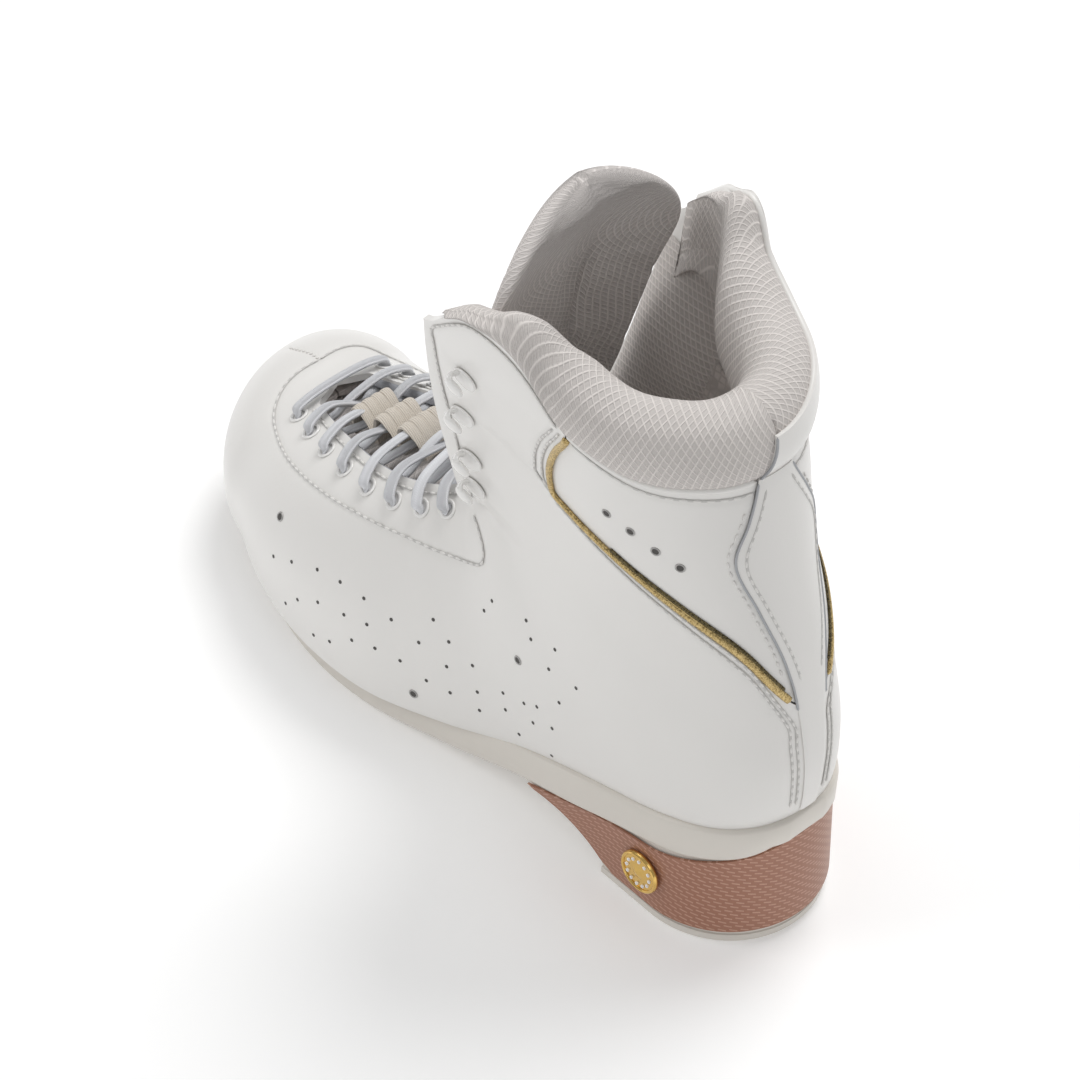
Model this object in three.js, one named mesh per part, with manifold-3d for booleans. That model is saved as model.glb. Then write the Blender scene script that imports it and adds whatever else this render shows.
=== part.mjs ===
// A lady's figure skating boot (left foot) without its blade, as separate pieces.
// Millimetres, +Z up, +Y towards the toe, -X the outer (lateral) side.
// The origin is the middle of the heel lift's flat underside.
import * as THREE from 'three';
import { mergeVertices } from 'three/addons/utils/BufferGeometryUtils.js';
import Module from 'manifold-3d';

// ---------------------------------------------------------------- driving dimensions
const BOOT_LENGTH = 263;          // heel curve to toe tip
const BALL_WIDTH = 93;            // upper's widest place, across the ball of the foot
const COLLAR_HEIGHT = 176;        // back of the leather collar above the floor

const LEATHER = 1.8;              // outer leather
const STIFFENER = 1.2;            // toe puff, heel counter and eyelet facings
const LINING = 1.4;
const LAYER_GAP = 0.9;            // room for the glue and cloth between bonded layers
const SEAM_GAP = 0.5;             // gap between leather panels along a seam
const FLAP_LEATHER = 2.6;         // ankle flap, leather and lining bonded together
const HINGE_GAP = 3;              // room at a flap's root for it to swing

const SOLE_DEPTH = 5;             // outsole below the foot form's lowest line
const WELT = 1.8;                 // how far the outsole stands out past the upper
const BOARD = 2;                  // insole board
const SHANK = 1.2;
const SHANK_WIDTH = 14;
const FOOTBED = 3;

const LIFT_RADIUS = 31.5;         // round back of the heel at the floor
const LIFT_BACK = -34;            // rearmost point of the lift
const LIFT_FRONT = 19;            // straight front edge of the lift
const LIFT_THICKNESS = 3.2;
const HEEL_TOP_RADIUS = 32.5;     // round back of the heel under the outsole
const HEEL_TOP_BACK = -31;
const HEEL_TOP_FRONT = 62;
const WRAP = 1;                   // textured band round the heel
const WRAP_GAP = 0.3;
const FRONT_RIM = 3;              // bare rim between the band and the heel's front
const WRAP_BOTTOM = 0.05;         // band edges, in parts of the heel's height
const WRAP_TOP = 0.86;
const BADGE_RADIUS = 8;
const BADGE_THICKNESS = 1.4;

const EYELET_ROWS = 8;
const EYELET_BORE = 4.4;
const EYELET_WALL = 0.6;
const EYELET_FLANGE = 8;
const EYELET_FLANGE_THICKNESS = 0.7;
const EYELET_EDGE = 8;            // eyelet centre to the facing's edge
const LACE = 3.2;                 // lace diameter
const LACE_LIFT = 0.5;            // lace above the leather it crosses

const HOOK_PLATE = 5.2;           // hook base radius
const HOOK_WIRE = 2.6;
const HOOK_HEIGHT = 6.4;

const PAD_HEIGHT = 22;            // collar roll above the leather edge
const PAD_DEPTH = 20;             // collar roll's thickness inwards
const PAD_SKIRT = 20;             // collar padding below the leather edge

const TONGUE = 4;                 // tongue under the laces
const LACE_UNDER = 0.6;           // lace below the stiffener
const LACE_TO_TONGUE = 0.8;       // elastics below the lace's lower runs
const LACE_CROSSING = 0.8;        // between lace runs that cross
const TONGUE_TOP = 234;
const TONGUE_ROOT = 98;
const TONGUE_PAD = 11;            // padded tongue above the throat
const ELASTIC = 1.4;
const PIPING = 3.2;

// ---------------------------------------------------------------- the foot form
// Each station is a slanted section: its front (upper) and back (lower) end points in the
// middle plane, its outer and inner half widths, where it is widest, how square its front
// and back halves are, and its sideways shift. They run from toe to top.
const STATIONS = [
  { front: [193, 59], back: [188, 7], outer: 43, inner: 39.5, widest: 0.60, square: [2.3, 3.5], shift: 9 },
  { front: [175, 67], back: [168, 4.8], outer: 47, inner: 42, widest: 0.64, square: [2.3, 4.3], shift: 5 },
  { front: [154, 77], back: [143, 4.8], outer: 49, inner: 44, widest: 0.68, square: [2.2, 5], shift: 2 },
  { front: [133, 88], back: [114, 6.5], outer: 47, inner: 42, widest: 0.72, square: [2.1, 5], shift: 0 },
  { front: [116, 98], back: [84, 11], outer: 41, inner: 38, widest: 0.70, square: [2.1, 4.6], shift: 0 },
  { front: [104, 105], back: [53, 20.5], outer: 36, inner: 35, widest: 0.66, square: [2.1, 4.4], shift: 0 },
  { front: [96, 112], back: [18, 34], outer: 37, inner: 33, widest: 0.62, square: [2.1, 4.6], shift: 0 },
  { front: [92, 119], back: [-13, 41], outer: 37, inner: 33, widest: 0.60, square: [2.1, 3.6], shift: 0 },
  { front: [90, 127], back: [-31, 49], outer: 36, inner: 32, widest: 0.57, square: [2.1, 2.6], shift: -1 },
  { front: [90, 136], back: [-34, 70], outer: 35, inner: 31, widest: 0.54, square: [2.1, 2.4], shift: -1 },
  { front: [92, 146], back: [-31, 92], outer: 34, inner: 30, widest: 0.50, square: [2.1, 2.3], shift: -1 },
  { front: [96, 158], back: [-25, 118], outer: 35, inner: 29, widest: 0.46, square: [2.1, 2.3], shift: -1 },
  { front: [101, 171], back: [-17, 142], outer: 38, inner: 31, widest: 0.43, square: [2.1, 2.3], shift: -2 },
  { front: [108, 186], back: [-11, 162], outer: 42, inner: 35, widest: 0.43, square: [2.1, 2.3], shift: -2 },
  { front: [115, 203], back: [-6, 180], outer: 46, inner: 39, widest: 0.43, square: [2.1, 2.3], shift: -3 },
  { front: [122, 222], back: [-2, 200], outer: 49, inner: 43, widest: 0.43, square: [2.1, 2.3], shift: -3 },
  { front: [129, 242], back: [2, 220], outer: 52, inner: 46, widest: 0.43, square: [2.1, 2.3], shift: -3 },
];
const TOE_TIP = { y: 229, z: 30, shift: 19 };
const TOE_STEPS = 6;              // sections that close the toe in front of the first station

// The stations are drawn for these sizes and stretched to the driving ones.
const stretch = {
  x: BALL_WIDTH / 93,
  y: BOOT_LENGTH / 263,
  z: COLLAR_HEIGHT / 176,
};

const toRow = (st) => [...st.front, ...st.back, st.outer, st.inner, st.widest, ...st.square, st.shift];

function toeRow(step) {
  const first = toRow(STATIONS[0]);
  const turn = (Math.PI / 2) * (step / TOE_STEPS);
  const towardsTip = Math.cos(turn);
  const opened = Math.sin(turn);
  const row = [...first];
  for (const k of [0, 2]) row[k] = first[k] + (TOE_TIP.y - first[k]) * towardsTip;
  for (const k of [1, 3]) row[k] = TOE_TIP.z + (first[k] - TOE_TIP.z) * opened ** 0.8;
  for (const k of [4, 5]) row[k] = first[k] * opened;
  row[7] = 2.2;
  row[8] = 2.2 + (first[8] - 2.2) * opened;
  row[9] = first[9] + (TOE_TIP.shift - first[9]) * towardsTip;
  return row;
}

const ROWS = [
  ...Array.from({ length: TOE_STEPS }, (_, step) => toeRow(step)),
  ...STATIONS.map(toRow),
];

const clamp = (v, low, high) => Math.min(high, Math.max(low, v));
const mix = (a, b, f) => a + (b - a) * f;
const smooth = (f) => f * f * (3 - 2 * f);

function cubic(p0, p1, p2, p3, f) {
  return p1 + 0.5 * f * (p2 - p0 + f * (2 * p0 - 5 * p1 + 4 * p2 - p3 + f * (3 * (p1 - p2) + p3 - p0)));
}

function rowAt(s) {
  const last = ROWS.length - 1;
  const beyond = Math.max(0, s - last);
  const at = clamp(s, 0, last - 1e-9);
  const i = Math.floor(at);
  const pick = (k) => ROWS[clamp(i + k, 0, last)];
  return ROWS[0].map((_, c) => {
    const inside = cubic(pick(-1)[c], pick(0)[c], pick(1)[c], pick(2)[c], at - i);
    return inside + beyond * (ROWS[last][c] - ROWS[last - 1][c]);
  });
}

// Point of a section at angle t: 0 at the back or bottom, pi at the front or top, and
// positive on the outer side.
function sectionPoint(row, t) {
  const [frontY, frontZ, backY, backZ, outer, inner, widest, topSquare, lowSquare, shift] = row;
  const c = Math.cos(t);
  const s = Math.sin(t);
  const power = 2 / (c > 0 ? lowSquare : topSquare);
  const reach = Math.abs(c) ** power;
  const along = c > 0 ? widest + (1 - widest) * reach : widest - widest * reach;
  const half = s > 0 ? outer : inner;
  return new THREE.Vector3(
    (shift - half * Math.sign(s) * Math.abs(s) ** power) * stretch.x,
    mix(frontY, backY, along) * stretch.y,
    mix(frontZ, backZ, along) * stretch.z,
  );
}

const SECTION_STEPS = 90;
const sections = new Map();

function section(s) {
  const key = Math.round(s * 1e5);
  if (sections.has(key)) return sections.get(key);
  const row = rowAt(s);
  const lengths = {};
  for (const side of [1, -1]) {
    const table = [0];
    let before = sectionPoint(row, 0);
    for (let k = 1; k <= SECTION_STEPS; k += 1) {
      const next = sectionPoint(row, (side * Math.PI * k) / SECTION_STEPS);
      table.push(table[k - 1] + next.distanceTo(before));
      before = next;
    }
    lengths[side] = table;
  }
  const made = { row, lengths, girth: lengths[1][SECTION_STEPS] };
  sections.set(key, made);
  return made;
}

// Angle of the point a share `a` of the way round a section's half, and the reverse.
function angleAt(s, a) {
  const table = section(s).lengths[a < 0 ? -1 : 1];
  const wanted = Math.abs(a) * table[SECTION_STEPS];
  let k = 1;
  while (k < SECTION_STEPS && table[k] < wanted) k += 1;
  const f = (wanted - table[k - 1]) / (table[k] - table[k - 1] || 1);
  return (Math.sign(a) || 1) * Math.PI * ((k - 1 + f) / SECTION_STEPS);
}

function shareAt(s, t) {
  const table = section(s).lengths[t < 0 ? -1 : 1];
  const k = clamp((Math.abs(t) / Math.PI) * SECTION_STEPS, 0, SECTION_STEPS - 1e-9);
  const i = Math.floor(k);
  return mix(table[i], table[i + 1], k - i) / table[SECTION_STEPS];
}

// The form's surface: s runs from toe (0) to top, a from the sole or heel centre (0) over
// the outer side to the instep centre (1) and on over the inner side (1 to 2, or 0 to -1).
function surface(s, a) {
  let around = a;
  if (around > 1) around -= 2;
  if (around < -1) around += 2;
  return sectionPoint(section(s).row, angleAt(s, around));
}

function normalAt(s, a) {
  const at = clamp(s, 0.35, 30);
  const along = surface(at + 0.05, a).sub(surface(at - 0.05, a));
  const round = surface(at, a + 0.012).sub(surface(at, a - 0.012));
  const out = along.cross(round).normalize();
  const row = section(at).row;
  const middle = new THREE.Vector3(
    row[9] * stretch.x,
    mix(row[0], row[2], row[6]) * stretch.y,
    mix(row[1], row[3], row[6]) * stretch.z,
  );
  if (out.dot(surface(at, a).sub(middle)) < 0) out.negate();
  const nearTip = clamp(1 - s / 0.7, 0, 1);
  return out.lerp(new THREE.Vector3(0, 1, 0), smooth(nearTip)).normalize();
}

// A skin that pieces lie on: its point and outward normal at [s, a].
const form = { point: surface, normal: normalAt };

const lift = (s, a, out, skin = form) => skin.point(s, a).addScaledVector(skin.normal(s, a), out);

const girth = (s) => section(s).girth;
const shareOf = (s, mm) => mm / girth(s);
const stepOf = (s, a, mm) => mm / (surface(s + 0.1, a).distanceTo(surface(s - 0.1, a)) / 0.2);

// A smooth line through chosen points; read(x) gives the second value at the first one.
function curveThrough(points) {
  return (x) => {
    const last = points.length - 1;
    let i = 0;
    while (i < last - 1 && points[i + 1][0] < x) i += 1;
    const pick = (k) => points[clamp(i + k, 0, last)];
    const f = clamp((x - pick(0)[0]) / (pick(1)[0] - pick(0)[0]), 0, 1);
    return cubic(pick(-1)[1], pick(0)[1], pick(1)[1], pick(2)[1], f);
  };
}

// ---------------------------------------------------------------- lines on the form
const SOLE_FRONT = 2.9;           // sections where the feather line closes at toe and heel
const SOLE_BACK = 14.25;
const FEATHER_ANGLE = (55 * Math.PI) / 180;

function feather(s) {
  const middle = (SOLE_FRONT + SOLE_BACK) / 2;
  const off = Math.abs(s - middle) / (SOLE_BACK - middle);
  if (off >= 1) return 0;
  return shareAt(s, FEATHER_ANGLE * (1 - off ** 5) ** 0.45);
}

const THROAT_FRONT = 6.15;
const FACING_END = 11.4;
const eyeletShare = curveThrough([[6.4, 0.845], [7.6, 0.825], [8.8, 0.8], [10, 0.79], [11.4, 0.82]]);
const throatEdge = (s) => eyeletShare(s) + shareOf(s, EYELET_EDGE);

// Root of the ankle flap, from the throat up to the collar.
const flapRoot = curveThrough([
  [11.4, 0.84], [12.5, 0.775], [14, 0.7], [16, 0.62], [17.43, 0.561], [18.2, 0.516], [19, 0.457], [19.9, 0.385],
]);
const flapFront = curveThrough([[11.4, 0.9], [12.5, 0.87], [14, 0.84], [16, 0.79], [18, 0.74], [20.3, 0.69]]);
// Leather collar edge, lower line of the ankle panel and edge of the backstay.
const collarEdge = curveThrough([
  [0, 19.75], [0.15, 19.73], [0.27, 19.6], [0.34, 19.68], [0.39, 19.88], [0.434, 20.5], [0.483, 20.78],
  [0.56, 20.75], [0.643, 20.3], [0.7, 19.9],
]);
const pipingLine = curveThrough([
  [0.03, 16.25], [0.14, 16.97], [0.25, 17.29], [0.377, 17.43], [0.487, 17.32], [0.561, 17.43],
]);
const stayEdge = curveThrough([
  [14.3, 0.02], [16, 0.032], [16.7, 0.048], [17.7, 0.088], [18.4, 0.112], [19.1, 0.073], [19.8, 0.04],
  [22, 0.035],
]);

const FLAP_FOOT = 11.7;          // lowest section of the flap
const TIP_SECTION = 19.75;
const ROOT_CORNER = 17.43;        // where the piping turns up along the flap's root
const STAY_CORNER = 16.3;         // where the piping meets the backstay
const ROOT_TOP = 19.86;

// ---------------------------------------------------------------- solids
const parts = new Map();

const materials = {
  white_leather: { color: 0xefedea, roughness: 0.42, metalness: 0 },
  sole: { color: 0xe2ddd2, roughness: 0.5, metalness: 0 },
  heel_wrap: { color: 0xa5654d, roughness: 0.45, metalness: 0.1 },
  gold: { color: 0xc9a24a, roughness: 0.3, metalness: 1 },
  mesh: { color: 0xe0d8d2, roughness: 0.85, metalness: 0 },
  lining: { color: 0xd8d0c8, roughness: 0.8, metalness: 0 },
  stiffener: { color: 0xb9a88e, roughness: 0.8, metalness: 0 },
  elastic: { color: 0xd9cdb9, roughness: 0.8, metalness: 0 },
  lace: { color: 0xe6e6e8, roughness: 0.8, metalness: 0 },
  coated_metal: { color: 0xf1f0ee, roughness: 0.3, metalness: 0.1 },
  steel: { color: 0x9a9a9a, roughness: 0.4, metalness: 1 },
};

function add(name, geometry, look) {
  const mesh = new THREE.Mesh(geometry, new THREE.MeshStandardMaterial({ ...materials[look] }));
  mesh.name = name;
  parts.set(name, mesh);
  return mesh;
}

// Welds points, drops collapsed triangles and turns the solid outside out.
function solid(points, triangles) {
  const loose = new THREE.BufferGeometry();
  loose.setAttribute('position', new THREE.Float32BufferAttribute(points.flatMap((p) => [p.x, p.y, p.z]), 3));
  loose.setIndex(triangles.flat());
  const welded = mergeVertices(loose, 1e-3);
  const index = welded.index.array;
  const place = welded.attributes.position;
  const corner = (k) => new THREE.Vector3().fromBufferAttribute(place, k);
  const kept = [];
  let volume = 0;
  for (let k = 0; k < index.length; k += 3) {
    const [a, b, c] = [index[k], index[k + 1], index[k + 2]];
    if (a === b || b === c || c === a) continue;
    kept.push(a, b, c);
    volume += corner(a).dot(corner(b).cross(corner(c)));
  }
  if (volume < 0) kept.reverse();
  welded.setIndex(kept);
  welded.computeVertexNormals();
  return welded;
}

// A closed solid from a grid of points: rings of equal length, closed round and capped at
// both ends. A cap joins each ring's first half to its second half, point by point.
function loft(rings) {
  const count = rings[0].length;
  const points = rings.flat();
  const triangles = [];
  for (let r = 0; r < rings.length - 1; r += 1) {
    for (let k = 0; k < count; k += 1) {
      const next = (k + 1) % count;
      const [a, b] = [r * count + k, r * count + next];
      const [c, d] = [a + count, b + count];
      triangles.push([a, b, d], [a, d, c]);
    }
  }
  for (const [start, flip] of [[0, 1], [(rings.length - 1) * count, 0]]) {
    for (let k = 0; k < count / 2 - 1; k += 1) {
      const quad = [start + k, start + k + 1, start + count - 2 - k, start + count - 1 - k];
      if (flip) quad.reverse();
      triangles.push([quad[0], quad[1], quad[2]], [quad[0], quad[2], quad[3]]);
    }
  }
  return solid(points, triangles);
}

// A shell over a skin: each row of [s, a] places gets an outer and an inner face.
function shell(rows, outer, inner, skin = form) {
  const value = (offset, s) => (typeof offset === 'function' ? offset(s) : offset);
  return loft(rows.map((row) => [
    ...row.map(([s, a]) => lift(s, a, value(outer, s), skin)),
    ...row.map(([s, a]) => lift(s, a, value(inner, s), skin)).reverse(),
  ]));
}

const steps = (from, to, count) => Array.from({ length: count + 1 }, (_, k) => mix(from, to, k / count));

// Rows between two edges that are given as functions of the section.
function band(sList, low, high, count, side = 1) {
  return sList.map((s) => steps(low(s), high(s), count).map((a) => [s, side * a]));
}

// Rows filled in between four edges; each edge is a function of 0..1 giving [s, a].
function filled(bottom, top, left, right, across, up, side) {
  const blend = (u, v, k) => (
    (1 - v) * bottom(u)[k] + v * top(u)[k] + (1 - u) * left(v)[k] + u * right(v)[k]
    - ((1 - u) * (1 - v) * bottom(0)[k] + u * (1 - v) * bottom(1)[k]
      + (1 - u) * v * top(0)[k] + u * v * top(1)[k])
  );
  return steps(0, 1, up).map((v) => steps(0, 1, across).map((u) => [blend(u, v, 0), side * blend(u, v, 1)]));
}

const wasm = await Module();
wasm.setup();

function toManifold(geometry) {
  const bare = new THREE.BufferGeometry();
  bare.setAttribute('position', geometry.attributes.position);
  if (geometry.index) bare.setIndex(geometry.index);
  const merged = mergeVertices(bare, 1e-3);
  return new wasm.Manifold(new wasm.Mesh({
    numProp: 3,
    vertProperties: new Float32Array(merged.attributes.position.array),
    triVerts: new Uint32Array(merged.index.array),
  }));
}

function fromManifold(body) {
  const mesh = body.getMesh();
  const geometry = new THREE.BufferGeometry();
  geometry.setAttribute('position', new THREE.BufferAttribute(mesh.vertProperties, 3));
  geometry.setIndex(new THREE.BufferAttribute(mesh.triVerts, 1));
  geometry.computeVertexNormals();
  return geometry;
}

// Places a geometry that is built along +Z so that +Z is the form's outward normal.
function standOn(geometry, s, a, out, skin = form, turnTo = undefined) {
  const up = skin.normal(s, a);
  const ahead = surface(s + 0.1, a).sub(surface(s - 0.1, a));
  const side = (turnTo ?? ahead).clone().cross(up).normalize();
  const front = up.clone().cross(side).normalize();
  const basis = new THREE.Matrix4().makeBasis(side, front, up).setPosition(lift(s, a, out, skin));
  return geometry.clone().applyMatrix4(basis);
}

function drilled(geometry, holes, radius) {
  let body = toManifold(geometry);
  const drill = new THREE.CylinderGeometry(radius, radius, 16, 8).rotateX(Math.PI / 2);
  for (const [s, a] of holes) body = body.subtract(toManifold(standOn(drill, s, a, -3)));
  return fromManifold(body);
}

const SIDES = [['lateral', 1], ['medial', -1]];
const eyeletSection = (row) => 6.4 + 0.59 * row;
const eyelets = (side) => Array.from({ length: EYELET_ROWS }, (_, row) => {
  const s = eyeletSection(row);
  return [s, side * eyeletShare(s)];
});
const HOLE_RADIUS = EYELET_BORE / 2 + EYELET_WALL + 0.3;

const STIFF_OUT = -(LEATHER + LAYER_GAP);
const STIFF_IN = STIFF_OUT - STIFFENER;
const LINING_OUT = STIFF_IN - LAYER_GAP - 0.6;
const LINING_IN = LINING_OUT - LINING;

// ---------------------------------------------------------------- upper leather
const VAMP_SECTIONS = [
  0, 0.5, 1, 1.6, 2.3, 3, 3.7, 4.4, 5.1, 5.7, 6.05, 6.15, 6.6, 7.2, 7.8, 8.4, 9, 9.6, 10.2, 10.8, FACING_END,
];

function vampRows(sections, side, count, shortBy) {
  const low = (s) => Math.max(feather(s), shareOf(Math.max(s, 1), SEAM_GAP / 2));
  const high = (s) => {
    if (s < THROAT_FRONT) return 1 - shareOf(Math.max(s, 1), SEAM_GAP / 2);
    return throatEdge(s) - shareOf(s, shortBy);
  };
  return band(sections, low, high, count, side);
}

// The quarter fills the space between sole, vamp, flap root and piping line.
function quarterEdges(edgeGap) {
  const backGap = (s) => stayEdge(s) + shareOf(s, edgeGap);
  const start = FACING_END + stepOf(FACING_END, 0.5, SEAM_GAP);
  const bottom = (u) => {
    const s = mix(SOLE_BACK, start, u);
    return [s, Math.max(feather(s), backGap(14.3))];
  };
  const rootSide = (s) => flapRoot(s) - shareOf(s, HINGE_GAP / 2);
  const top = (u) => {
    const s = mix(ROOT_CORNER - 0.12, start, u);
    return [s, rootSide(s)];
  };
  const rise = 0.42;
  const left = (v) => {
    if (v < rise) {
      const s = mix(SOLE_BACK, STAY_CORNER - 0.12, v / rise);
      return [s, backGap(s)];
    }
    const a = mix(backGap(STAY_CORNER), rootSide(ROOT_CORNER - 0.12), (v - rise) / (1 - rise));
    return [pipingLine(a) - 0.12, a];
  };
  const right = (v) => [start, mix(feather(start), rootSide(start), v)];
  return [bottom, top, left, right];
}

function ankleEdges() {
  const lowGap = 0.14;
  const highGap = 0.03;
  const back = (s) => stayEdge(s) + shareOf(s, SEAM_GAP + 0.3);
  const front = (s) => flapRoot(s) - shareOf(s, HINGE_GAP / 2 + PIPING * 0.5);
  const bottom = (u) => {
    const a = mix(back(STAY_CORNER + lowGap), front(ROOT_CORNER + lowGap), u);
    return [pipingLine(a) + lowGap, a];
  };
  const top = (u) => {
    const a = mix(back(19.7), front(19.8), u);
    return [collarEdge(a) - highGap, a];
  };
  const left = (v) => {
    const s = mix(bottom(0)[0], top(0)[0], v);
    return [s, back(s)];
  };
  const right = (v) => {
    const s = mix(bottom(1)[0], top(1)[0], v);
    return [s, front(s)];
  };
  return [bottom, top, left, right];
}

function flapEdges() {
  const root = (s) => flapRoot(s) + shareOf(s, HINGE_GAP / 2);
  const topS = ROOT_TOP;
  const left = (v) => {
    const s = mix(FLAP_FOOT, topS, v);
    return [s, root(s)];
  };
  const right = (v) => {
    const s = mix(FLAP_FOOT, TIP_SECTION, v);
    return [s, flapFront(s)];
  };
  const bottom = (u) => [FLAP_FOOT, mix(root(FLAP_FOOT), flapFront(FLAP_FOOT), u)];
  const top = (u) => [flapTop(u) - 0.05, mix(root(topS), flapFront(TIP_SECTION), u)];
  return [bottom, top, left, right];
}

// Top line of a flap: the collar line, rounded down towards the front corner.
function flapTop(u) {
  const a = mix(flapRoot(ROOT_TOP) + shareOf(ROOT_TOP, HINGE_GAP / 2), flapFront(TIP_SECTION), u);
  return collarEdge(a) + 0.35 * u - 0.45 * smooth(clamp((u - 0.6) / 0.4, 0, 1));
}

// Front edge of each ankle flap, by section: the flaps stand open, away from the form.
const FLAP_EDGE = {
  lateral: [
    [11.4, -24, 96, 98], [13, -30, 94, 112], [15, -36, 93, 131], [17, -42, 93, 154], [19, -47.5, 92, 180],
    [21, -52, 90, 208],
  ],
  medial: [
    [11.4, 22, 96, 98], [13, 26, 92, 112], [15, 31, 88, 131], [17, 35.5, 84, 154], [19, 39, 80, 180],
    [21, 43, 76, 208],
  ],
};

function makeFlapSkin(name, side) {
  const edge = [1, 2, 3].map((k) => curveThrough(FLAP_EDGE[name].map((row) => [row[0], row[k]])));
  const edgePoint = (s) => new THREE.Vector3(
    edge[0](s) * stretch.x, edge[1](s) * stretch.y, edge[2](s) * stretch.z,
  );
  // Leaves the form along its own surface at the root and runs out to the front edge.
  const point = (s, a) => {
    const root = flapRoot(s);
    const u = (Math.abs(a) - root) / (flapFront(s) - root);
    if (u <= 0) return surface(s, a);
    const start = surface(s, side * root);
    const end = edgePoint(s);
    const reach = start.distanceTo(end);
    const leave = surface(s, side * (root + 0.01)).sub(surface(s, side * (root - 0.01))).setLength(reach);
    const arrive = end.clone().sub(start).multiplyScalar(1.6).sub(leave.clone().multiplyScalar(0.6));
    const f = Math.min(u, 1);
    const made = start.clone().multiplyScalar(1 - smooth(f)).addScaledVector(end, smooth(f));
    made.addScaledVector(leave, f * (1 - f) ** 2).addScaledVector(arrive, -f * f * (1 - f));
    return u > 1 ? made.addScaledVector(arrive, u - 1) : made;
  };
  const normal = (s, a) => {
    const along = point(s + 0.1, a).sub(point(s - 0.1, a));
    const round = point(s, a + 0.01).sub(point(s, a - 0.01));
    const out = along.cross(round).normalize();
    return out.dot(normalAt(s, side * flapRoot(s))) < 0 ? out.negate() : out;
  };
  return { point, normal };
}

const flapSkins = Object.fromEntries(SIDES.map(([name, side]) => [name, makeFlapSkin(name, side)]));

for (const [name, side] of SIDES) {
  const vamp = shell(vampRows(VAMP_SECTIONS, side, 8, 0), 0, -LEATHER);
  add(`vamp_${name}`, drilled(vamp, eyelets(side), HOLE_RADIUS), 'white_leather');

  const quarter = filled(...quarterEdges(SEAM_GAP), 14, 14, side);
  add(`quarter_${name}`, shell(quarter, 0, -LEATHER), 'white_leather');

  const ankle = filled(...ankleEdges(), 10, 9, side);
  add(`ankle_panel_${name}`, shell(ankle, 0, -LEATHER), 'white_leather');

  const flap = filled(...flapEdges(), 8, 14, side);
  add(`ankle_flap_${name}`, shell(flap, 0, -FLAP_LEATHER, flapSkins[name]), 'white_leather');
}

// The backstay covers the heel seam and carries on over the collar's back.
const stayRows = steps(14.4, 20.45, 15).map((s) => steps(-stayEdge(s), stayEdge(s), 6).map((a) => [s, a]));
add('backstay', shell(stayRows, 0, -LEATHER), 'white_leather');

// ---------------------------------------------------------------- piping
class Polyline extends THREE.Curve {
  constructor(points) {
    super();
    this.points = points;
  }

  getPoint(t, target = new THREE.Vector3()) {
    const last = this.points.length - 1;
    const at = clamp(t * last, 0, last - 1e-9);
    const i = Math.floor(at);
    return target.copy(this.points[i]).lerp(this.points[i + 1], at - i);
  }

  getPointAt(t, target) {
    return this.getPoint(t, target);
  }

  getTangent(t, target = new THREE.Vector3()) {
    const half = 0.5 / (this.points.length - 1);
    const behind = this.getPoint(Math.max(0, t - half));
    return target.copy(this.getPoint(Math.min(1, t + half))).sub(behind).normalize();
  }

  getTangentAt(t, target) {
    return this.getTangent(t, target);
  }
}

function disc(radius, sides) {
  const shape = new THREE.Shape();
  for (let k = 0; k < sides; k += 1) {
    const turn = (2 * Math.PI * k) / sides;
    const move = k === 0 ? 'moveTo' : 'lineTo';
    shape[move](radius * Math.cos(turn), radius * Math.sin(turn));
  }
  return shape;
}

function tube(points, radius, sides) {
  const geometry = new THREE.ExtrudeGeometry(disc(radius, sides), {
    steps: points.length - 1,
    extrudePath: new Polyline(points),
    bevelEnabled: false,
  });
  geometry.deleteAttribute('normal');
  geometry.deleteAttribute('uv');
  return mergeVertices(geometry, 1e-3);
}

for (const [name, side] of SIDES) {
  const low = steps(0.055, 0.545, 14).map((a) => lift(pipingLine(a), side * a, -0.4));
  const high = steps(ROOT_CORNER + 0.08, 19.7, 8).map((s) => {
    const a = flapRoot(s) - shareOf(s, HINGE_GAP / 2 + 0.1);
    return lift(s, side * a, -0.4);
  });
  add(`piping_${name}`, tube([...low, ...high], 0.8, 6), 'gold');
}

// ---------------------------------------------------------------- stiffeners and lining
const LINING_SECTIONS = [
  0, 0.6, 1.3, 2.2, 3.2, 4.2, 5.2, 6.05, 6.15, 6.6, 7.2, 7.8, 8.4, 9, 9.6, 10.2, 10.8, FACING_END,
];
const puffLow = (s) => Math.max(feather(s) + shareOf(Math.max(s, 1), 1), shareOf(Math.max(s, 1), 1));
const puffRows = [0, 0.6, 1.3, 2.2, 3.2, 4.2, 5.2].map(
  (s) => steps(puffLow(s), 2 - puffLow(s), 16).map((a) => [s, a]),
);
add('toe_puff', shell(puffRows, STIFF_OUT, STIFF_IN), 'stiffener');

// The heel section where the feather line has come in to a share of the girth.
function featherSection(share) {
  let low = 11.9;
  let high = SOLE_BACK;
  for (let k = 0; k < 30; k += 1) {
    const s = (low + high) / 2;
    if (feather(s) > share) low = s;
    else high = s;
  }
  return low;
}

const counterRows = steps(0, 1, 5).map((v) => steps(-0.3, 0.3, 14).map((a) => [
  mix(featherSection(Math.abs(a) - 0.03) + 0.3, 15.9, v), a,
]));
add('heel_counter', shell(counterRows, STIFF_OUT, STIFF_IN), 'stiffener');

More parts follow.
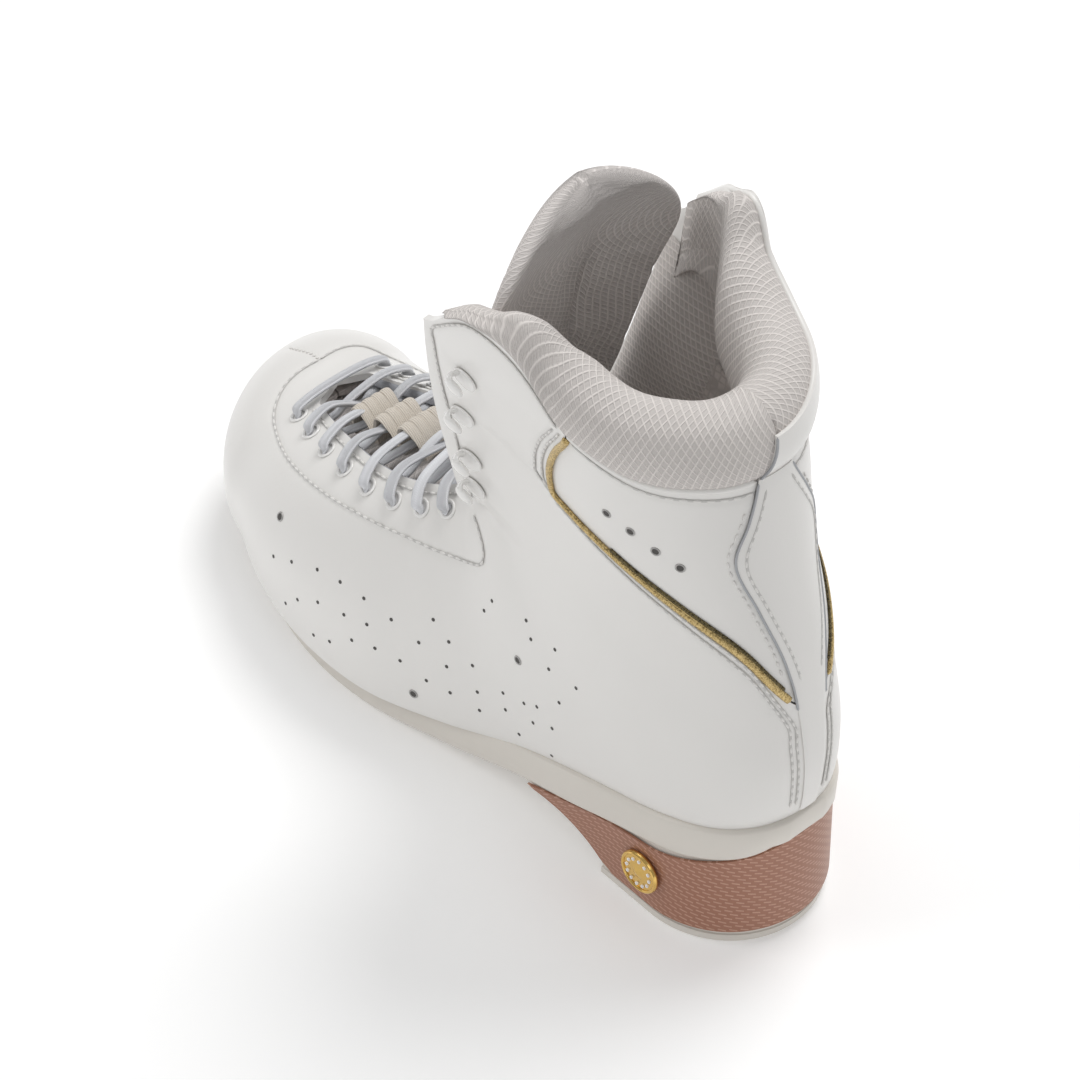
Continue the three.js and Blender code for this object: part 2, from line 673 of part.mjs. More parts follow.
const FACING_WIDTH = 17;
const LINING_TOP = 18.4;          // the collar padding's skirt starts above the lining
const FACING_SECTIONS = [THROAT_FRONT, 6.6, 7.2, 7.8, 8.4, 9, 9.6, 10.2, 10.8, FACING_END];
for (const [name, side] of SIDES) {
  const edge = (s) => throatEdge(s) - shareOf(s, 0.6);
  const facing = band(FACING_SECTIONS, (s) => edge(s) - shareOf(s, FACING_WIDTH), edge, 3, side);
  const stiff = drilled(shell(facing, STIFF_OUT, STIFF_IN), eyelets(side), HOLE_RADIUS);
  add(`eyelet_facing_${name}`, stiff, 'stiffener');

  const front = vampRows(LINING_SECTIONS, side, 8, FACING_WIDTH + 1);
  add(`lining_front_${name}`, shell(front, LINING_OUT, LINING_IN), 'lining');

  const backLine = 0.006;
  const start = FACING_END + stepOf(FACING_END, 0.5, SEAM_GAP);
  const rootSide = (s) => flapRoot(s) - shareOf(s, HINGE_GAP / 2);
  const rise = 0.58;
  const bottom = (u) => {
    const s = mix(SOLE_BACK, start, u);
    return [s, Math.max(feather(s), backLine)];
  };
  const top = (u) => {
    const s = mix(LINING_TOP, start, u);
    return [s, rootSide(s)];
  };
  const left = (v) => {
    if (v < rise) return [mix(SOLE_BACK, LINING_TOP, v / rise), backLine];
    return [LINING_TOP, mix(backLine, rootSide(LINING_TOP), (v - rise) / (1 - rise))];
  };
  const right = (v) => [start, mix(feather(start), rootSide(start), v)];
  const back = filled(bottom, top, left, right, 10, 14, side);
  add(`lining_back_${name}`, shell(back, LINING_OUT, LINING_IN), 'lining');
}

// ---------------------------------------------------------------- collar padding
// Height above the leather edge and depth behind the outer face, once round the roll. A
// depth below `skirt` is a share of the roll's thickness.
const ROLL_SKIRT = [[-PAD_SKIRT, 0], [-13, 0], [-6.5, 0], [1.4, 0]];
const ROLL_CROWN = [[1.6, 0.2], [6, 1.4], [13, 0.8]];
const ROLL_INNER = [
  [19, 0.15], [PAD_HEIGHT, 0.4], [21, 0.7], [16.5, 0.92], [7, 1], [-6, 0.84], [-14, 0.45], [-PAD_SKIRT, 0.08],
];
const rollHeight = curveThrough([
  [0, 1], [0.38, 1], [0.434, 0.66], [0.483, 0.4], [0.53, 0.16], [0.6, 0.06], [0.7, 0.03],
]);
const rollDepth = curveThrough([[0, 1], [0.36, 1], [0.42, 0.72], [0.48, 0.45], [0.55, 0.32], [0.7, 0.28]]);

// One cross-section of the roll above the leather's `edge`. `at(s)` gives its share round
// the form at a section, so that the cut between two rolls follows the flap's root.
function rollRing(start, edge, at, skirt, skin) {
  const share = Math.abs(start);
  const thick = PAD_DEPTH * rollDepth(share);
  const place = (height, depth) => {
    const s = edge + stepOf(edge, start, height > 1 ? 1 + (height - 1) * rollHeight(share) : height);
    return lift(s, at(s), depth, skin);
  };
  return [
    ...ROLL_SKIRT.map(([h, d]) => place(h, skirt * (1 - d))),
    ...ROLL_CROWN.map(([h, d]) => place(h, d)),
    ...ROLL_INNER.map(([h, d]) => place(h, h > 0 ? -thick * d : mix(skirt, -thick, d) - 0.6)),
  ];
}

const rootShare = (s) => flapRoot(s) - shareOf(s, HINGE_GAP / 2);
const backRoll = steps(-1, 1, 26).map((f) => {
  const start = f * rootShare(ROOT_TOP);
  return rollRing(start, collarEdge(Math.abs(start)), (s) => f * rootShare(s), -LEATHER - LAYER_GAP, form);
});
const stayCut = steps(14.4, 21.4, 20).map((s) => {
  const edge = stayEdge(s) + shareOf(s, 0.9);
  return steps(-edge, edge, 8).map((a) => [s, a]);
});
const backPad = toManifold(loft(backRoll)).subtract(toManifold(shell(stayCut, 6, -LEATHER - 0.5)));
add('collar_padding_back', fromManifold(backPad), 'mesh');

for (const [name, side] of SIDES) {
  const freeShare = (s) => flapRoot(s) + shareOf(s, HINGE_GAP / 2);
  const rings = steps(0, 0.875, 7).map((u) => {
    const start = mix(freeShare(ROOT_TOP), flapFront(TIP_SECTION), u);
    const at = (s) => side * mix(freeShare(s), flapFront(s), u);
    return rollRing(side * start, flapTop(u), at, -FLAP_LEATHER - LAYER_GAP, flapSkins[name]);
  });
  add(`collar_padding_${name}`, loft(rings), 'mesh');
}

// ---------------------------------------------------------------- tongue
// The lower tongue starts just under the vamp lining and sinks to run below the laces.
const tongueEdge = 0.78;
const tongueRows = [5.3, 5.8, 6.3, 6.9, 7.7, 8.5, 9.3, 10.1, 10.9].map(
  (s) => steps(tongueEdge, 2 - tongueEdge, 10).map((a) => [s, a]),
);
const elasticTop = STIFF_IN - LACE_UNDER - LACE - LACE_TO_TONGUE;
const tongueFace = elasticTop - ELASTIC - 0.3;
const tongueTop = (s) => mix(LINING_IN - 0.9, tongueFace, smooth(clamp((s - 5.4) / 0.8, 0, 1)));
add('tongue_lower', shell(tongueRows, tongueTop, (s) => tongueTop(s) - TONGUE), 'mesh');

const tongueWidth = {
  outer: curveThrough([[0, 17], [0.25, 25], [0.45, 31], [0.65, 36.5], [0.8, 40], [1, 40]]),
  inner: curveThrough([[0, 17], [0.25, 21], [0.45, 24], [0.65, 27], [0.8, 31], [1, 32]]),
};
const tongueMiddle = curveThrough([[0, 91.5], [0.35, 89], [0.7, 83], [1, 76]]);
const tongueRings = steps(0, 1, 14).map((f) => {
  const v = 1 - (1 - f) ** 1.5;
  const round = Math.max(0.2, (1 - clamp((v - 0.74) / 0.26, 0, 1) ** 2.8) ** 0.45);
  const thick = mix(TONGUE + 1, TONGUE_PAD, smooth(clamp(v / 0.4, 0, 1))) * (v > 0.97 ? 0.6 : 1);
  const z = mix(TONGUE_ROOT, TONGUE_TOP, v);
  const edge = (x, back) => {
    const half = x < 0 ? tongueWidth.outer(v) : tongueWidth.inner(v);
    const rim = 1 - 0.25 * Math.abs(x) ** 4;
    const y = tongueMiddle(v) + 6 - 13 * (x * round) ** 2 * mix(0.6, 1, v) + (back ? -thick * rim : 0);
    return new THREE.Vector3(x * half * round * stretch.x, y * stretch.y, z * stretch.z);
  };
  const xs = steps(-1, 1, 10);
  return [...xs.map((x) => edge(x, false)), ...xs.map((x) => edge(x, true)).reverse()];
});
add('tongue_upper', loft(tongueRings), 'mesh');

// Three ribbed elastic bands lie across the tongue under the laces.
for (let k = 0; k < 3; k += 1) {
  const s = 7.3 + 0.85 * k;
  const rows = [s - 0.2, s, s + 0.2].map((at) => steps(0.86, 1.14, 8).map((a) => [at, a]));
  add(`tongue_elastic_${k + 1}`, shell(rows, elasticTop, elasticTop - ELASTIC), 'elastic');
}

// ---------------------------------------------------------------- eyelets, hooks and lace
const eyeletProfile = [
  [EYELET_BORE / 2, -LEATHER - 0.1],
  [EYELET_BORE / 2 + EYELET_WALL, -LEATHER - 0.1],
  [EYELET_BORE / 2 + EYELET_WALL, 0.3],
  [EYELET_FLANGE / 2, 0.3],
  [EYELET_FLANGE / 2 - 0.6, 0.3 + EYELET_FLANGE_THICKNESS],
  [EYELET_BORE / 2, 0.3 + EYELET_FLANGE_THICKNESS],
  [EYELET_BORE / 2, -LEATHER - 0.1],
].map(([r, z]) => new THREE.Vector2(r, z));
const eyelet = new THREE.LatheGeometry(eyeletProfile, 10).rotateX(Math.PI / 2);

for (const [name, side] of SIDES) {
  eyelets(side).forEach(([s, a], row) => {
    add(`eyelet_${name}_${row + 1}`, standOn(eyelet, s, a, 0), 'coated_metal');
  });
}

// A hook: a round plate with a bent strip that curls forwards over it.
const hookStrip = new THREE.Shape();
hookStrip.moveTo(1, 0);
hookStrip.lineTo(HOOK_PLATE - 0.6, 0);
hookStrip.absarc(0.6, HOOK_HEIGHT / 2 + 0.4, HOOK_HEIGHT / 2 + 0.4, -0.55, Math.PI * 1.05, false);
hookStrip.lineTo(-1.2, HOOK_HEIGHT / 2);
hookStrip.absarc(0.6, HOOK_HEIGHT / 2 + 0.4, HOOK_HEIGHT / 2 - 1, Math.PI * 1.05, 0, true);
hookStrip.lineTo(1, 0.9);

function hookBody() {
  const plate = new THREE.CylinderGeometry(HOOK_PLATE, HOOK_PLATE, 1, 16);
  plate.rotateX(Math.PI / 2).translate(0, 0, 0.5);
  const bent = { depth: HOOK_WIRE * 2, bevelEnabled: false, curveSegments: 6 };
  const curl = new THREE.ExtrudeGeometry(hookStrip, bent);
  curl.rotateX(Math.PI / 2).translate(0, HOOK_WIRE, 0.6);
  for (const piece of [plate, curl]) {
    piece.deleteAttribute('normal');
    piece.deleteAttribute('uv');
  }
  return fromManifold(toManifold(plate).add(toManifold(curl)));
}

const hook = hookBody();
// Where each hook stands: its section, and its share of the way from flap root to edge.
const HOOKS = [[14.1, 0.76], [15.5, 0.78], [17.3, 0.76], [19, 0.68]];
for (const [name, side] of SIDES) {
  for (const [row, [s, u]] of HOOKS.entries()) {
    const a = mix(flapRoot(s), flapFront(s), u);
    const place = new THREE.Vector3(-side, 0, 0);
    const geometry = standOn(hook, s, side * a, 0.6, flapSkins[name], place);
    add(`hook_${name}_${row + 1}`, geometry, 'coated_metal');
  }
}

// The lace: a bar over the first row, and from there each end dives through its hole, runs
// under its facing, crosses the tongue and goes over the other facing into the next hole.
function laceHalf(side) {
  const points = [];
  for (let row = 0; row < EYELET_ROWS; row += 1) {
    const here = row % 2 === 0 ? side : -side;
    const s = eyeletSection(row);
    const a = eyeletShare(s);
    const above = EYELET_FLANGE_THICKNESS + LACE / 2 + 0.7;
    const under = STIFF_IN - LACE / 2 - LACE_UNDER;
    points.push(lift(s, here * a, above), lift(s, here * a, under));
    if (row === EYELET_ROWS - 1) {
      points.push(lift(s + 0.45, here * (a - 0.02), under - 0.2));
      break;
    }
    const ahead = s + 0.2;
    points.push(lift(ahead, here * (throatEdge(ahead) + 0.02), under));
    const cross = s + 0.36;
    points.push(lift(cross, here * 0.985, side > 0 ? -1.6 : -1.6 - LACE - LACE_CROSSING));
    const over = s + 0.5;
    points.push(lift(over, -here * (throatEdge(over) + 0.012), LACE / 2 + LACE_LIFT + 0.3));
  }
  return points;
}

const barHeight = EYELET_FLANGE_THICKNESS + LACE / 2 + 0.7;
const barShare = eyeletShare(6.4);
const bar = steps(barShare, 2 - barShare, 6).slice(1, -1).map((a) => lift(6.4, a, barHeight));
add('lace', tube([...laceHalf(1).reverse(), ...bar, ...laceHalf(-1)], LACE / 2, 8), 'lace');

// ---------------------------------------------------------------- sole
const soleSections = [2.92, 3, 3.2, 3.5, 4, 4.6, 5.3, 6, 7, 8, 9, 10, 11, 12, 12.8, 13.4, 13.8, 14.1, 14.22];
const soleFloor = (s) => Math.max(0, rowAt(s)[3] - SOLE_DEPTH) * stretch.z;

function soleRing(s) {
  const edge = feather(s);
  const top = steps(-edge, edge, 8).map((a) => lift(s, a, 0.35));
  const middle = surface(s, 0);
  const ends = (1 - (Math.abs(s - 8.57) / 5.66) ** 8);
  for (const k of [0, 8]) {
    const out = top[k].clone().sub(middle).setZ(0);
    const reach = out.length() || 1;
    top[k].addScaledVector(out, (WELT * ends) / reach);
  }
  const base = top.map((p) => new THREE.Vector3(p.x, p.y, Math.min(soleFloor(s), p.z - 1))).reverse();
  return [...top, ...base];
}
add('outsole', loft(soleSections.map(soleRing)), 'sole');

const inside = (share) => (s) => Math.max(0.004, feather(s) * share);
const insoleSections = [3.3, 3.6, 4.2, 5, 6, 7, 8, 9, 10, 11, 12, 12.8, 13.4, 13.8];
const insoleRows = (share) => insoleSections.map((s) => {
  const edge = Math.max(0.01, inside(share)(s));
  return steps(-edge, edge, 6).map((a) => [s, a]);
});
add('insole_board', shell(insoleRows(0.9), -0.4, -0.4 - BOARD), 'stiffener');
const shankRows = steps(8.6, 13.2, 8).map((s) => {
  const edge = shareOf(s, SHANK_WIDTH / 2);
  return steps(-edge, edge, 2).map((a) => [s, a]);
});
add('shank', shell(shankRows, -0.9 - BOARD, -0.9 - BOARD - SHANK), 'steel');
const BED_OUT = -(BOARD + SHANK + 1.3);
add('footbed', shell(insoleRows(0.82), BED_OUT, BED_OUT - FOOTBED), 'lining');

// ---------------------------------------------------------------- heel
// Height of the outsole's underside above a place on the foot's length.
function undersideAt(y) {
  let low = 3;
  let high = 14;
  for (let k = 0; k < 40; k += 1) {
    const s = (low + high) / 2;
    if (surface(s, 0).y > y) low = s;
    else high = s;
  }
  return soleFloor(low);
}

const HEEL_SIDE_STEPS = 5;
const HEEL_ARC_STEPS = 16;
const breast = (f) => mix(LIFT_FRONT, HEEL_TOP_FRONT, f ** 1.35) * stretch.y;

// The heel's outline at a height: two straight sides and a half round back.
function heelOutline(f, inset, trimFront) {
  const radius = mix(LIFT_RADIUS, HEEL_TOP_RADIUS, f) * stretch.x;
  const back = mix(LIFT_BACK, HEEL_TOP_BACK, f) * stretch.y;
  const centre = back + radius;
  const front = breast(f) - trimFront;
  const side = (x) => steps(front, centre, HEEL_SIDE_STEPS).map((y) => [x, y]);
  const arc = steps(Math.PI, 2 * Math.PI, HEEL_ARC_STEPS).slice(1, -1).map((turn) => [
    (radius - inset) * Math.cos(turn), centre + (radius - inset) * Math.sin(turn),
  ]);
  return [...side(-(radius - inset)), ...arc, ...side(radius - inset).reverse()];
}

// One level of the heel, `out` beyond its side; heights follow the plain outline.
function heelRing(f, out = 0, trimFront = 0) {
  const base = LIFT_THICKNESS + 0.3;
  const plain = heelOutline(f, 0, trimFront);
  return heelOutline(f, -out, trimFront).map(([x, y], k) => {
    const roof = Math.max(undersideAt(plain[k][1]) - 0.5, base + 0.5);
    return new THREE.Vector3(x, y, mix(base, roof, f));
  });
}
add('heel_block', loft([0, 0.2, 0.4, 0.6, 0.8, 0.92, 1].map((f) => heelRing(f))), 'sole');

// The band lies round the heel and stops short of its front edge on both sides.
const wrapRings = steps(WRAP_BOTTOM, WRAP_TOP, 5).map((f) => [
  ...heelRing(f, WRAP_GAP + WRAP, FRONT_RIM),
  ...heelRing(f, WRAP_GAP, FRONT_RIM).reverse(),
]);
add('heel_wrap', loft(wrapRings), 'heel_wrap');

const liftRing = (z) => heelOutline(0, 0, 0).map(([x, y]) => new THREE.Vector3(x, y, z));
add('heel_lift', loft([liftRing(0), liftRing(LIFT_THICKNESS)]), 'sole');

// A plain round-cornered metal badge on the outer side of the heel.
const badgeHeight = 0.52;
const badgeY = 1;
const badgeRadius = mix(LIFT_RADIUS, HEEL_TOP_RADIUS, badgeHeight) * stretch.x;
const badge = new THREE.CylinderGeometry(BADGE_RADIUS - 0.8, BADGE_RADIUS, BADGE_THICKNESS, 20);
badge.rotateZ(Math.PI / 2);
badge.translate(
  -(badgeRadius + WRAP_GAP + WRAP + 0.3 + BADGE_THICKNESS / 2),
  badgeY * stretch.y,
  mix(LIFT_THICKNESS, undersideAt(badgeY * stretch.y), badgeHeight),
);
add('heel_badge', badge, 'gold');

// ---------------------------------------------------------------- assembly
const boot = new THREE.Group();
boot.name = 'figure_skating_boot';
for (const mesh of parts.values()) boot.add(mesh);

export default boot;
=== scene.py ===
"""A lady's white figure skating boot: leather upper with open ankle flaps, laces over a
padded tongue, a soft collar and a raised heel with a copper coloured band.

Lengths are millimetres until a mesh is placed. +Z is up, +Y towards the toe and -X the
outer side, and the origin is the middle of the heel lift's underside."""

import math

import bpy
import numpy as np
from mathutils import Matrix, Vector


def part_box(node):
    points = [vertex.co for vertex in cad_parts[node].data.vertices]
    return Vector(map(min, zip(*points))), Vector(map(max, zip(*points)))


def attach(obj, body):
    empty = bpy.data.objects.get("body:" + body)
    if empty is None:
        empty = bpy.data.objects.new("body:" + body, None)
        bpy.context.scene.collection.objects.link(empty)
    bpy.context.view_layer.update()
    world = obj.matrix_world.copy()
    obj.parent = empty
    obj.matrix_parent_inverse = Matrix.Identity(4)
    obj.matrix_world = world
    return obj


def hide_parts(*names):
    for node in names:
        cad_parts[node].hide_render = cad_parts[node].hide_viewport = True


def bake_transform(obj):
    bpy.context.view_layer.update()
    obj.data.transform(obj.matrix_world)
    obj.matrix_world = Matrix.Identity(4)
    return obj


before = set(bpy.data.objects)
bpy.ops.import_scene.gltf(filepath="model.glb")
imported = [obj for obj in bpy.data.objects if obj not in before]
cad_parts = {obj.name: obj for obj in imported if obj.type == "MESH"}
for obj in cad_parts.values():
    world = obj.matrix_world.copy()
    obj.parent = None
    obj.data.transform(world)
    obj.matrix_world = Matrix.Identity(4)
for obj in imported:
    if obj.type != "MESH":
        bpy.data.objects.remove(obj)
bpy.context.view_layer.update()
MM = 0.001
SIDES = {"lateral": 1, "medial": -1}


# ------------------------------------------------------------------ camera, light and floor
def aim(azimuth, elevation, roll, distance, target):
    """Puts the camera on a sphere round the target and looks at it."""
    a, e, r = (math.radians(v) for v in (azimuth, elevation, roll))
    back = Vector((math.sin(a) * math.cos(e), -math.cos(a) * math.cos(e), math.sin(e)))
    right = Vector((math.cos(a), math.sin(a), 0))
    up = back.cross(right)
    turned_right = right * math.cos(r) + up * math.sin(r)
    turned_up = up * math.cos(r) - right * math.sin(r)
    turn = Matrix((turned_right, turned_up, back)).transposed().to_4x4()
    return Matrix.Translation(Vector(target) + back * distance) @ turn


bpy.ops.object.camera_add()
camera = bpy.context.object
camera.data.sensor_width = 36
camera.data.lens = 156.94
camera.data.clip_end = 50
camera.matrix_world = aim(-45.948, 45.417, 4.207, 1.4393, (-0.006146, 0.08061, 0.081891))
bpy.context.scene.camera = camera


def area_light(name, place, size, power, colour=(1, 1, 1)):
    bpy.ops.object.light_add(type="AREA", location=place)
    light = bpy.context.object
    light.name = name
    light.data.shape = "DISK"
    light.data.size = size
    light.data.energy = power
    light.data.color = colour
    towards = Vector((0, 0.09, 0.08)) - Vector(place)
    light.rotation_euler = towards.to_track_quat("-Z", "Y").to_euler()
    return light


area_light("softbox_over", (0.9, 0.3, 1.9), 1.1, 22)
area_light("softbox_outer", (-1.2, 1.1, 1.5), 1.1, 8)
area_light("softbox_back", (-0.6, -1.2, 1.6), 1.0, 3)
world = bpy.context.scene.world or bpy.data.worlds.new("world")
bpy.context.scene.world = world
world.use_nodes = True
world.node_tree.nodes["Background"].inputs["Color"].default_value = (1, 1, 1, 1)
world.node_tree.nodes["Background"].inputs["Strength"].default_value = 0.4
bpy.context.scene.view_settings.view_transform = "Standard"


# ------------------------------------------------------------------ shader writing
class Value:
    """A socket that can be used in plain arithmetic; each operation adds a Math node."""

    def __init__(self, tree, socket):
        self.tree = tree
        self.socket = socket

    def math(self, operation, *others):
        node = self.tree.nodes.new("ShaderNodeMath")
        node.operation = operation
        for slot, value in enumerate((self, *others)):
            if isinstance(value, Value):
                self.tree.links.new(value.socket, node.inputs[slot])
            else:
                node.inputs[slot].default_value = value
        return Value(self.tree, node.outputs[0])

    def reflected(self, operation, other):
        node = self.tree.nodes.new("ShaderNodeMath")
        node.operation = operation
        node.inputs[0].default_value = other
        self.tree.links.new(self.socket, node.inputs[1])
        return Value(self.tree, node.outputs[0])

    def __add__(self, other):
        return self.math("ADD", other)

    __radd__ = __add__

    def __sub__(self, other):
        return self.math("SUBTRACT", other)

    def __rsub__(self, other):
        return self.reflected("SUBTRACT", other)

    def __mul__(self, other):
        return self.math("MULTIPLY", other)

    __rmul__ = __mul__

    def __truediv__(self, other):
        return self.math("DIVIDE", other)

    def __gt__(self, other):
        return self.math("GREATER_THAN", other)

    def __lt__(self, other):
        return self.math("LESS_THAN", other)

    def __abs__(self):
        return self.math("ABSOLUTE")

    def sine(self):
        return self.math("SINE")

    def fract(self):
        return self.math("FRACT")

    def floor(self):
        return self.math("FLOOR")

    def limited(self, low, high):
        return self.math("MAXIMUM", low).math("MINIMUM", high)


class Finish:
    """A material round one Principled BSDF."""

    def __init__(self, name, colour, roughness, metallic=0.0, **constants):
        self.material = bpy.data.materials.new(name)
        self.material.use_nodes = True
        self.tree = self.material.node_tree
        self.shader = self.tree.nodes["Principled BSDF"]
        self.shader.inputs["Base Color"].default_value = (*colour, 1)
        self.shader.inputs["Roughness"].default_value = roughness
        self.shader.inputs["Metallic"].default_value = metallic
        for socket, value in constants.items():
            self.shader.inputs[socket.replace("_", " ")].default_value = value

    def node(self, kind, settings=None, **inputs):
        made = self.tree.nodes.new(kind)
        for key, value in (settings or {}).items():
            setattr(made, key, value)
        for key, value in inputs.items():
            socket = made.inputs[key.replace("_", " ")]
            if isinstance(value, Value):
                value = value.socket
            if isinstance(value, bpy.types.NodeSocket):
                self.tree.links.new(value, socket)
            else:
                socket.default_value = value
        return made

    def value(self, socket):
        return Value(self.tree, socket)

    def place(self):
        return self.node("ShaderNodeTexCoord").outputs["Object"]

    def noise(self, scale, detail=2.0):
        made = self.node("ShaderNodeTexNoise", Vector=self.place(), Scale=scale, Detail=detail)
        return self.value(made.outputs["Fac"])

    def lengths(self):
        """The piece's own two lengths along its surface, in millimetres."""
        uv = self.node("ShaderNodeUVMap", {"uv_map": "lengths"}).outputs["UV"]
        parts = self.node("ShaderNodeSeparateXYZ", Vector=uv)
        return self.value(parts.outputs["X"]) * 1000, self.value(parts.outputs["Y"]) * 1000

    def colours(self, mask, first, second):
        mixed = self.node("ShaderNodeMix", {"data_type": "RGBA"}, Factor=mask)
        mixed.inputs["A"].default_value = (*first, 1)
        mixed.inputs["B"].default_value = (*second, 1)
        self.tree.links.new(mixed.outputs["Result"], self.shader.inputs["Base Color"])

    def roughness(self, value):
        self.tree.links.new(value.socket, self.shader.inputs["Roughness"])

    def bump(self, height, distance, strength=1.0):
        made = self.node("ShaderNodeBump", Height=height, Distance=distance, Strength=strength)
        self.tree.links.new(made.outputs["Normal"], self.shader.inputs["Normal"])


def leather(name, colour):
    made = Finish(name, colour, 0.36, Coat_Weight=0.25, Coat_Roughness=0.3)
    grain = made.noise(700, 3)
    broad = made.noise(60, 2)
    made.colours(broad, tuple(c * 0.985 for c in colour), colour)
    made.roughness(broad * 0.08 + 0.33)
    made.bump(grain, 0.00006, 0.5)
    return made.material


def knit_mesh(name, colour, wide, tall, upright=True):
    """Padded mesh: a lattice of raised threads round leaf shaped cells, with painted shade darkening the
    cells' hollows and painted light brightening the threads.
    """
    made = Finish(name, colour, 0.8)
    u, v = made.lengths()
    if not upright:
        u, v = v, u
    first = abs((u / wide + v / tall).fract() - 0.5)
    second = abs((u / wide - v / tall).fract() - 0.5)
    thread = ((first.math("MAXIMUM", second) - 0.3) / 0.17).limited(0, 1)
    fine = (u * (2 * math.pi / 0.55)).sine() * (v * (2 * math.pi / 0.8)).sine()
    shade = tuple(c * 0.8 for c in colour)
    pale = tuple(min(1, c * 1.08) for c in colour)
    # Painted shade in the cells and painted light on the raised threads.
    made.colours((thread + fine * 0.12).limited(0, 1), shade, pale)
    made.bump(thread + fine * 0.1, 0.00032, 0.8)
    return made.material


def knit_solid(name, colour, size):
    """The same mesh for pieces whose surface has no lengths of its own; the low lines between its cells are
    painted darker as shade.
    """
    made = Finish(name, colour, 0.82)
    cells = made.node(
        "ShaderNodeTexVoronoi", {"feature": "DISTANCE_TO_EDGE"},
        Vector=made.place(), Scale=1000 / size, Randomness=0.25,
    )
    gap = made.value(cells.outputs["Distance"])
    # Painted shade: the low lines between the cells are coloured darker.
    painted_gap_shade = (1 - gap * 5).limited(0, 1)
    made.colours(painted_gap_shade * 0.8, colour, tuple(c * 0.72 for c in colour))
    made.bump(gap.limited(0, 0.3), 0.0005, 0.7)
    return made.material


def ribbed(name, colour, pitch):
    made = Finish(name, colour, 0.75)
    u, v = made.lengths()
    ribs = (u * (2 * math.pi / pitch)).sine() * 0.5 + 0.5
    threads = (v * (2 * math.pi / 0.6)).sine() * 0.5 + 0.5
    # Painted shade: the troughs between the ribs and between the threads are coloured darker.
    made.colours(ribs * 0.7 + threads * 0.3, tuple(c * 0.78 for c in colour), colour)
    made.bump(ribs * 0.8 + threads * 0.2, 0.0003, 0.9)
    return made.material


def braid(name, colour):
    made = Finish(name, colour, 0.7)
    u, v = made.lengths()
    first = ((u + v) * (2 * math.pi / 1.5)).sine()
    second = ((u - v) * (2 * math.pi / 1.5)).sine()
    weave = abs(first * second)
    # Painted shade: the grooves between the strands are coloured darker.
    made.colours((1 - weave * 1.6).limited(0, 1) * 0.5, colour, tuple(c * 0.8 for c in colour))
    made.bump(weave, 0.00012, 0.8)
    return made.material


def glitter(name, colour, dark):
    made = Finish(name, colour, 0.25, 0.9)
    flakes = made.node("ShaderNodeTexVoronoi", Vector=made.place(), Scale=2600.0)
    tone = made.node("ShaderNodeSeparateXYZ", Vector=flakes.outputs["Color"])
    spark = made.value(tone.outputs["X"])
    made.colours(spark, dark, colour)
    made.roughness(spark * 0.35 + 0.12)
    made.bump(spark, 0.00008, 0.7)
    return made.material


def dashed_copper(name, colour, light):
    """Textured band: staggered rows of short pale dashes pressed into the copper colour."""
    made = Finish(name, colour, 0.4, 0.15)
    u, v = made.lengths()
    rows = v / 1.7
    row = rows.floor()
    along = (u / 3.4 + row * 0.5).fract()
    across = rows.fract()
    inside = (abs(along - 0.5) < 0.36) * (abs(across - 0.5 + (along - 0.5) * 0.5) < 0.16)
    tone = made.noise(900, 2)
    made.colours((inside * (tone * 0.6 + 0.35)).limited(0, 1), colour, light)
    made.bump(inside + tone * 0.3, 0.00015, 0.6)
    return made.material


def plain(name, colour, roughness, metallic=0.0, grain=200, depth=0.00002, **constants):
    made = Finish(name, colour, roughness, metallic, **constants)
    tone = made.noise(grain, 2)
    made.colours(tone, tuple(c * 0.97 for c in colour), colour)
    made.bump(tone, depth, 0.4)
    return made.material


WHITE_LEATHER = leather("white_leather", (0.83, 0.815, 0.79))
COLLAR_MESH = knit_mesh("collar_mesh", (0.76, 0.715, 0.685), 2.5, 3.9)
TONGUE_MESH = knit_mesh("tongue_mesh", (0.76, 0.715, 0.69), 2.5, 3.9, upright=False)
LINING_MESH = knit_solid("lining_mesh", (0.70, 0.65, 0.62), 2.6)
ELASTIC = ribbed("ribbed_elastic", (0.80, 0.73, 0.64), 0.75)
LACE = braid("braided_lace", (0.84, 0.85, 0.88))
GOLD_GLITTER = glitter("gold_glitter", (0.72, 0.55, 0.26), (0.30, 0.21, 0.08))
DARK_GLITTER = glitter("dark_glitter", (0.20, 0.16, 0.08), (0.05, 0.04, 0.02))
COPPER = dashed_copper("dashed_copper", (0.36, 0.165, 0.105), (0.60, 0.36, 0.27))
SOLE = plain("sole_cream", (0.74, 0.70, 0.64), 0.38, Coat_Weight=0.15)
COATED = plain("white_enamel", (0.86, 0.85, 0.83), 0.22, Coat_Weight=0.5)
# Painted shade: darker ribbons under the stitches stand for the shadow in their grooves.
GROOVE_SHADE = plain("painted_groove_shade", (0.60, 0.59, 0.57), 0.8)
THREAD = plain("white_thread", (0.80, 0.785, 0.76), 0.6)
GREY_EDGE = plain("grey_edge", (0.42, 0.43, 0.45), 0.45)
FELT = plain("felt_edge", (0.42, 0.43, 0.46), 0.9, grain=1500, depth=0.0003)
HOLE = plain("hole_shadow", (0.09, 0.085, 0.08), 0.8)
RING = plain("hole_ring", (0.42, 0.41, 0.40), 0.35, 0.7)
GOLD = plain("polished_gold", (0.78, 0.52, 0.16), 0.18, 1.0)
STONE = plain("clear_stone", (0.92, 0.92, 0.95), 0.05, 0.2, Coat_Weight=1.0)
BOARD = plain("fibre_board", (0.52, 0.45, 0.34), 0.8)
STEEL = plain("steel", (0.5, 0.5, 0.5), 0.35, 1.0)


